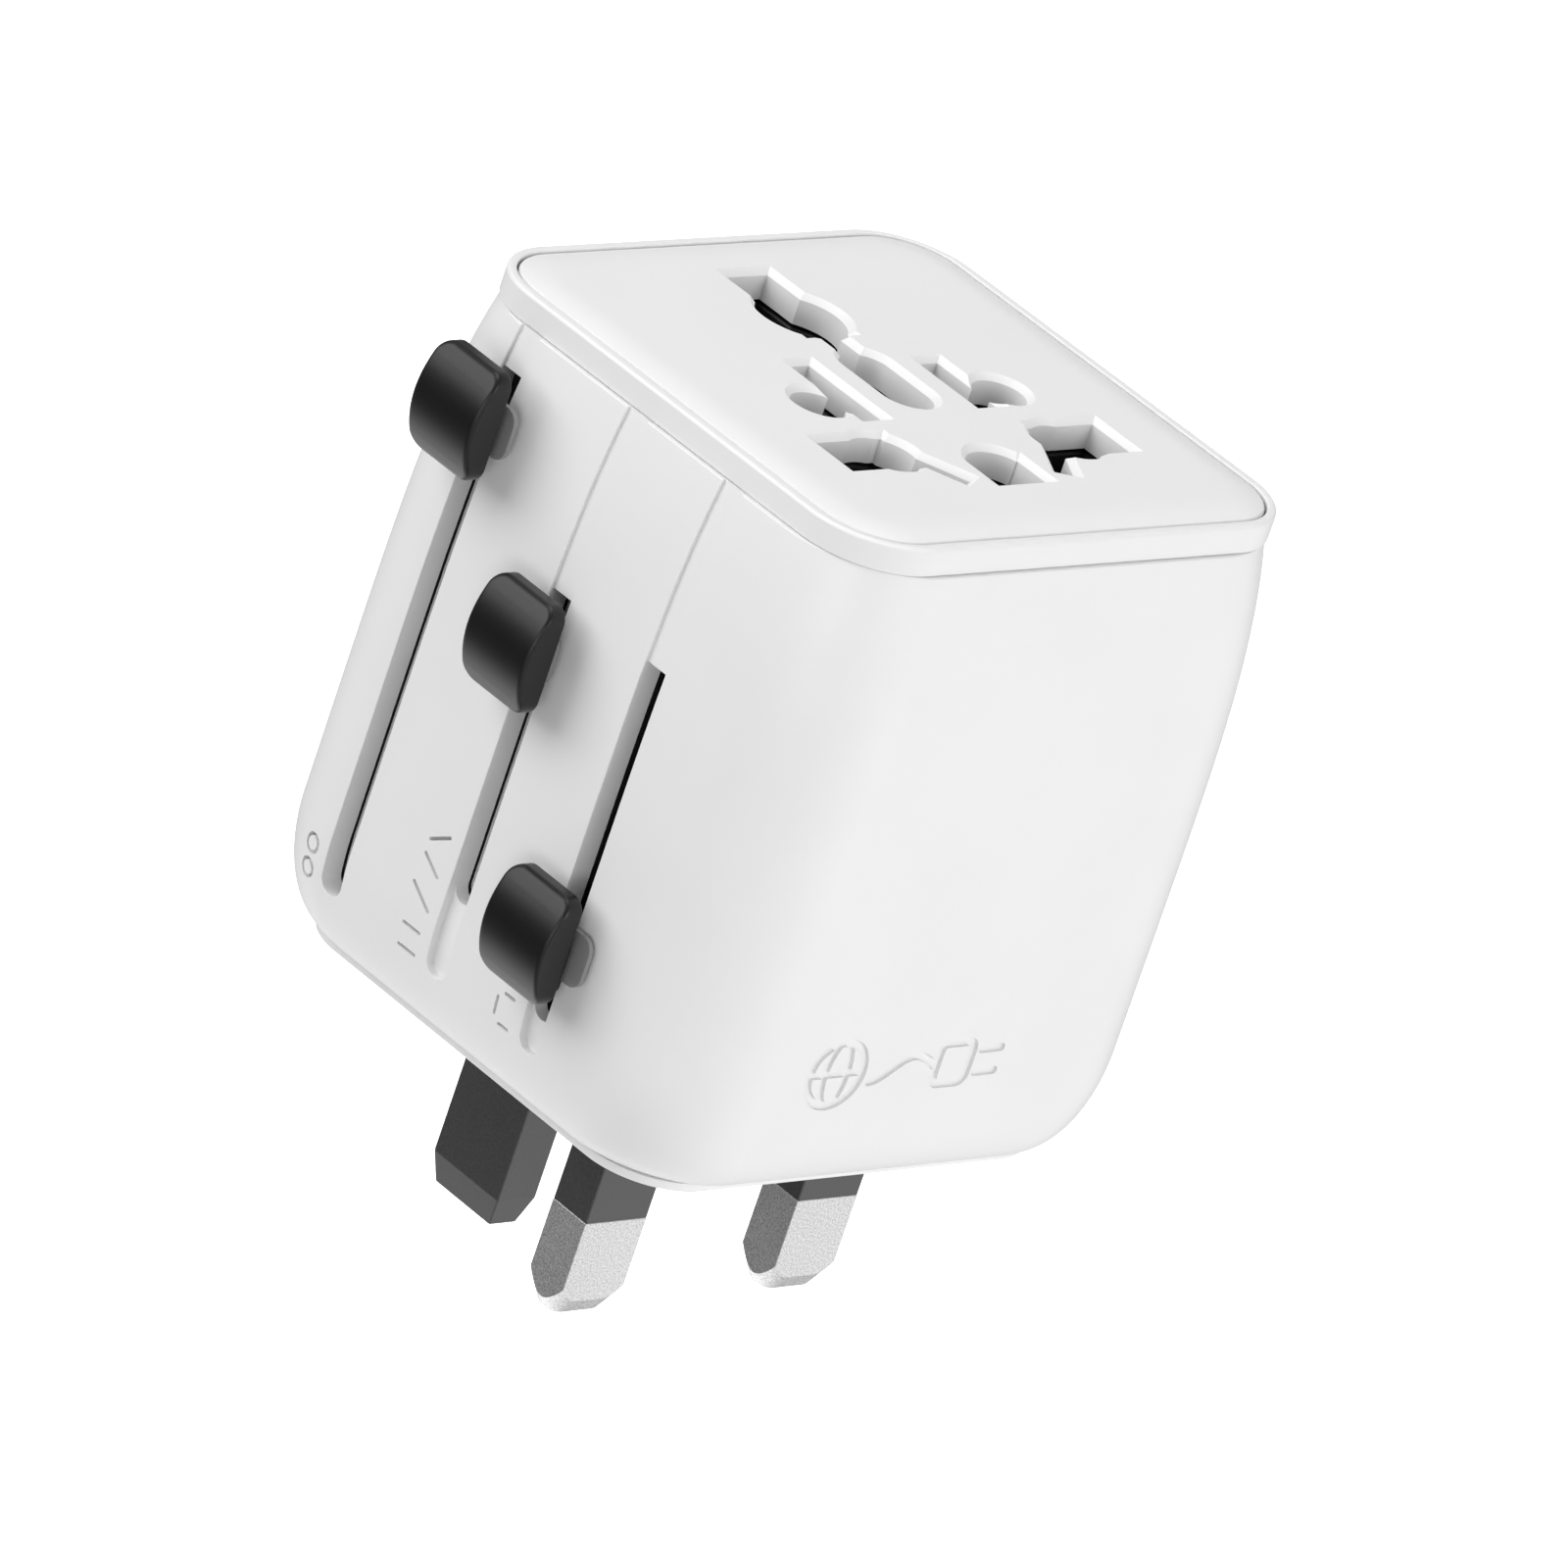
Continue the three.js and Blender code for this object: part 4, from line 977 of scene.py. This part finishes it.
# The slider guide's material carries painted shade on its faces toward the slots.
CARRIED = {
    "slider_guide": GUIDE_PAINTED_SHADE, "uk_slider_guide": BLACK,
    "live_contact": BRASS, "neutral_contact": BRASS,
    "live_busbar": BRASS, "neutral_busbar": BRASS,
    "live_rail": BRASS, "neutral_rail": BRASS,
    "fuse_board": BOARD, "fuse_tube": CERAMIC,
    "fuse_cap_left": NICKEL, "fuse_cap_right": NICKEL,
    "fuse_clip_left": BRASS, "fuse_clip_right": BRASS,
    "uk_carriage": BLACK, "us_carriage": BLACK, "eu_carriage": BLACK,
    "uk_detent_spring": STEEL, "us_detent_spring": STEEL, "eu_detent_spring": STEEL,
    "us_retainer_left": STEEL, "us_retainer_right": STEEL,
}


def carried_pieces():
    """Gives the inner pieces their materials and eases their edges."""
    for name, material in CARRIED.items():
        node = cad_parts[name]
        node.data.materials.clear()
        node.data.materials.append(material)
        bevel = node.modifiers.new("eased", "BEVEL")
        bevel.width = EASED * MM
        bevel.segments = 2
        bevel.limit_method = "ANGLE"
        bevel.angle_limit = radians(40)
        bevel.harden_normals = True


# --------------------------------------------------------------------- camera and light

# The studio is in metres. The camera's place was found from the photograph's pins and edges.
AIM = Vector((0.0073, 0.0038, 0.0190))
AZIMUTH, ELEVATION, ROLL = radians(-48.6), radians(23.0), radians(19.0)
DISTANCE = 1.3364
LENS = 403.4
FLOOR_HALF = 4.0
FLOOR_Z = -0.12
FLOOR_GLOW = 0.9


def camera():
    back = Vector((sin(AZIMUTH) * cos(ELEVATION), -cos(AZIMUTH) * cos(ELEVATION), sin(ELEVATION)))
    level = Vector((cos(AZIMUTH), sin(AZIMUTH), 0))
    above = back.cross(level)
    right = level * cos(ROLL) + above * sin(ROLL)
    up = above * cos(ROLL) - level * sin(ROLL)
    data = bpy.data.cameras.new("camera")
    data.sensor_width = 36
    data.lens = LENS
    data.clip_end = 20
    obj = bpy.data.objects.new("camera", data)
    turn = Matrix((right, up, back)).transposed().to_4x4()
    obj.matrix_world = Matrix.Translation(AIM + back * DISTANCE) @ turn
    bpy.context.scene.collection.objects.link(obj)
    bpy.context.scene.camera = obj


def floor():
    """A wide pale floor, well below the pins, that can't be seen from underneath."""
    material, nodes, links, shader = principled("floor")
    shader.inputs["Base Color"].default_value = (0.9, 0.9, 0.9, 1)
    shader.inputs["Roughness"].default_value = 0.9
    shader.inputs["Emission Color"].default_value = (1, 1, 1, 1)
    shader.inputs["Emission Strength"].default_value = FLOOR_GLOW
    facing = nodes.new("ShaderNodeNewGeometry")
    clear = nodes.new("ShaderNodeBsdfTransparent")
    mix = nodes.new("ShaderNodeMixShader")
    links.new(facing.outputs["Backfacing"], mix.inputs["Fac"])
    links.new(shader.outputs["BSDF"], mix.inputs[1])
    links.new(clear.outputs["BSDF"], mix.inputs[2])
    links.new(mix.outputs["Shader"], nodes["Material Output"].inputs["Surface"])
    ways = ((-1, -1), (1, -1), (1, 1), (-1, 1))
    corners = [(x * FLOOR_HALF, y * FLOOR_HALF, FLOOR_Z) for x, y in ways]
    mesh = bpy.data.meshes.new("floor")
    mesh.from_pydata(corners, [], [(0, 1, 2, 3)])
    mesh.materials.append(material)
    obj = bpy.data.objects.new("floor", mesh)
    obj.visible_glossy = False
    obj.visible_diffuse = False
    bpy.context.scene.collection.objects.link(obj)


# The dome's even light, and the soft lobes that add to it or take from it, as (direction,
# strength, how wide).
DOME_BASE = 0.30
LOBES = [
    ((-0.72, 0.61, -0.32), -0.30, 0.12),
    ((-0.35, 0.61, -0.71), 0.15, 0.12),
    ((0.02, 0.36, -0.93), 1.70, 0.15),
    ((-0.2, -0.7, -0.7), 0.50, 0.15),
    ((0.69, -0.61, -0.39), 0.85, 0.20),
]


def dome():
    """A studio dome whose brightness depends on direction. The camera sees it as white."""
    world = bpy.data.worlds.new("studio")
    bpy.context.scene.world = world
    world.use_nodes = True
    nodes, links = world.node_tree.nodes, world.node_tree.links
    background = nodes["Background"]
    background.inputs["Color"].default_value = (1, 1, 1, 1)
    direction = nodes.new("ShaderNodeTexCoord").outputs["Generated"]
    total = None
    for toward, strength, width in LOBES:
        dot = nodes.new("ShaderNodeVectorMath")
        dot.operation = "DOT_PRODUCT"
        dot.inputs[1].default_value = Vector(toward).normalized()
        links.new(direction, dot.inputs[0])
        lobe = nodes.new("ShaderNodeMapRange")
        lobe.interpolation_type = "SMOOTHSTEP"
        lobe.inputs["From Min"].default_value = 1 - 2 * width
        lobe.inputs["To Max"].default_value = strength
        links.new(dot.outputs["Value"], lobe.inputs["Value"])
        add = nodes.new("ShaderNodeMath")
        add.operation = "ADD"
        add.inputs[1].default_value = DOME_BASE
        if total is not None:
            links.new(total, add.inputs[1])
        links.new(lobe.outputs["Result"], add.inputs[0])
        total = add.outputs["Value"]
    path = nodes.new("ShaderNodeLightPath")
    seen = nodes.new("ShaderNodeMix")
    links.new(path.outputs["Is Camera Ray"], seen.inputs["Factor"])
    links.new(total, seen.inputs["A"])
    seen.inputs["B"].default_value = 1.0
    links.new(seen.outputs["Result"], background.inputs["Strength"])


# Area lights: name, direction it stands in, distance, width, height and power in watts.
LIT_POINT = Vector((0, 0, 0.025))
LIGHTS = [
    ("key", (-0.75, 0.5, 0.6), 1.2, 1.0, 1.0, 11.2),
    ("side", (-0.8, -0.55, 0.1), 1.3, 0.5, 0.4, 3.6),
    ("front", (0.15, -0.95, 0.3), 1.3, 0.9, 0.9, 8.0),
    ("top", (0.1, 0.2, 1.0), 1.2, 0.7, 0.7, 4.4),
]


def lights():
    for name, toward, distance, width, height, power in LIGHTS:
        data = bpy.data.lights.new(name, "AREA")
        data.shape = "RECTANGLE"
        data.size = width
        data.size_y = height
        data.energy = power
        obj = bpy.data.objects.new(name, data)
        away = Vector(toward).normalized()
        turn = away.to_track_quat("Z", "Y").to_matrix().to_4x4()
        obj.matrix_world = Matrix.Translation(LIT_POINT + away * distance) @ turn
        bpy.context.scene.collection.objects.link(obj)


bpy.context.scene.view_settings.view_transform = "Standard"
camera()
floor()
dome()
lights()
body_shell()
top_rim()
socket_plate()
contact_carrier()
base_plate()
base_screws()
knobs()
uk_pins()
uk_earth_pin()
us_blades()
eu_pins()
carried_pieces()
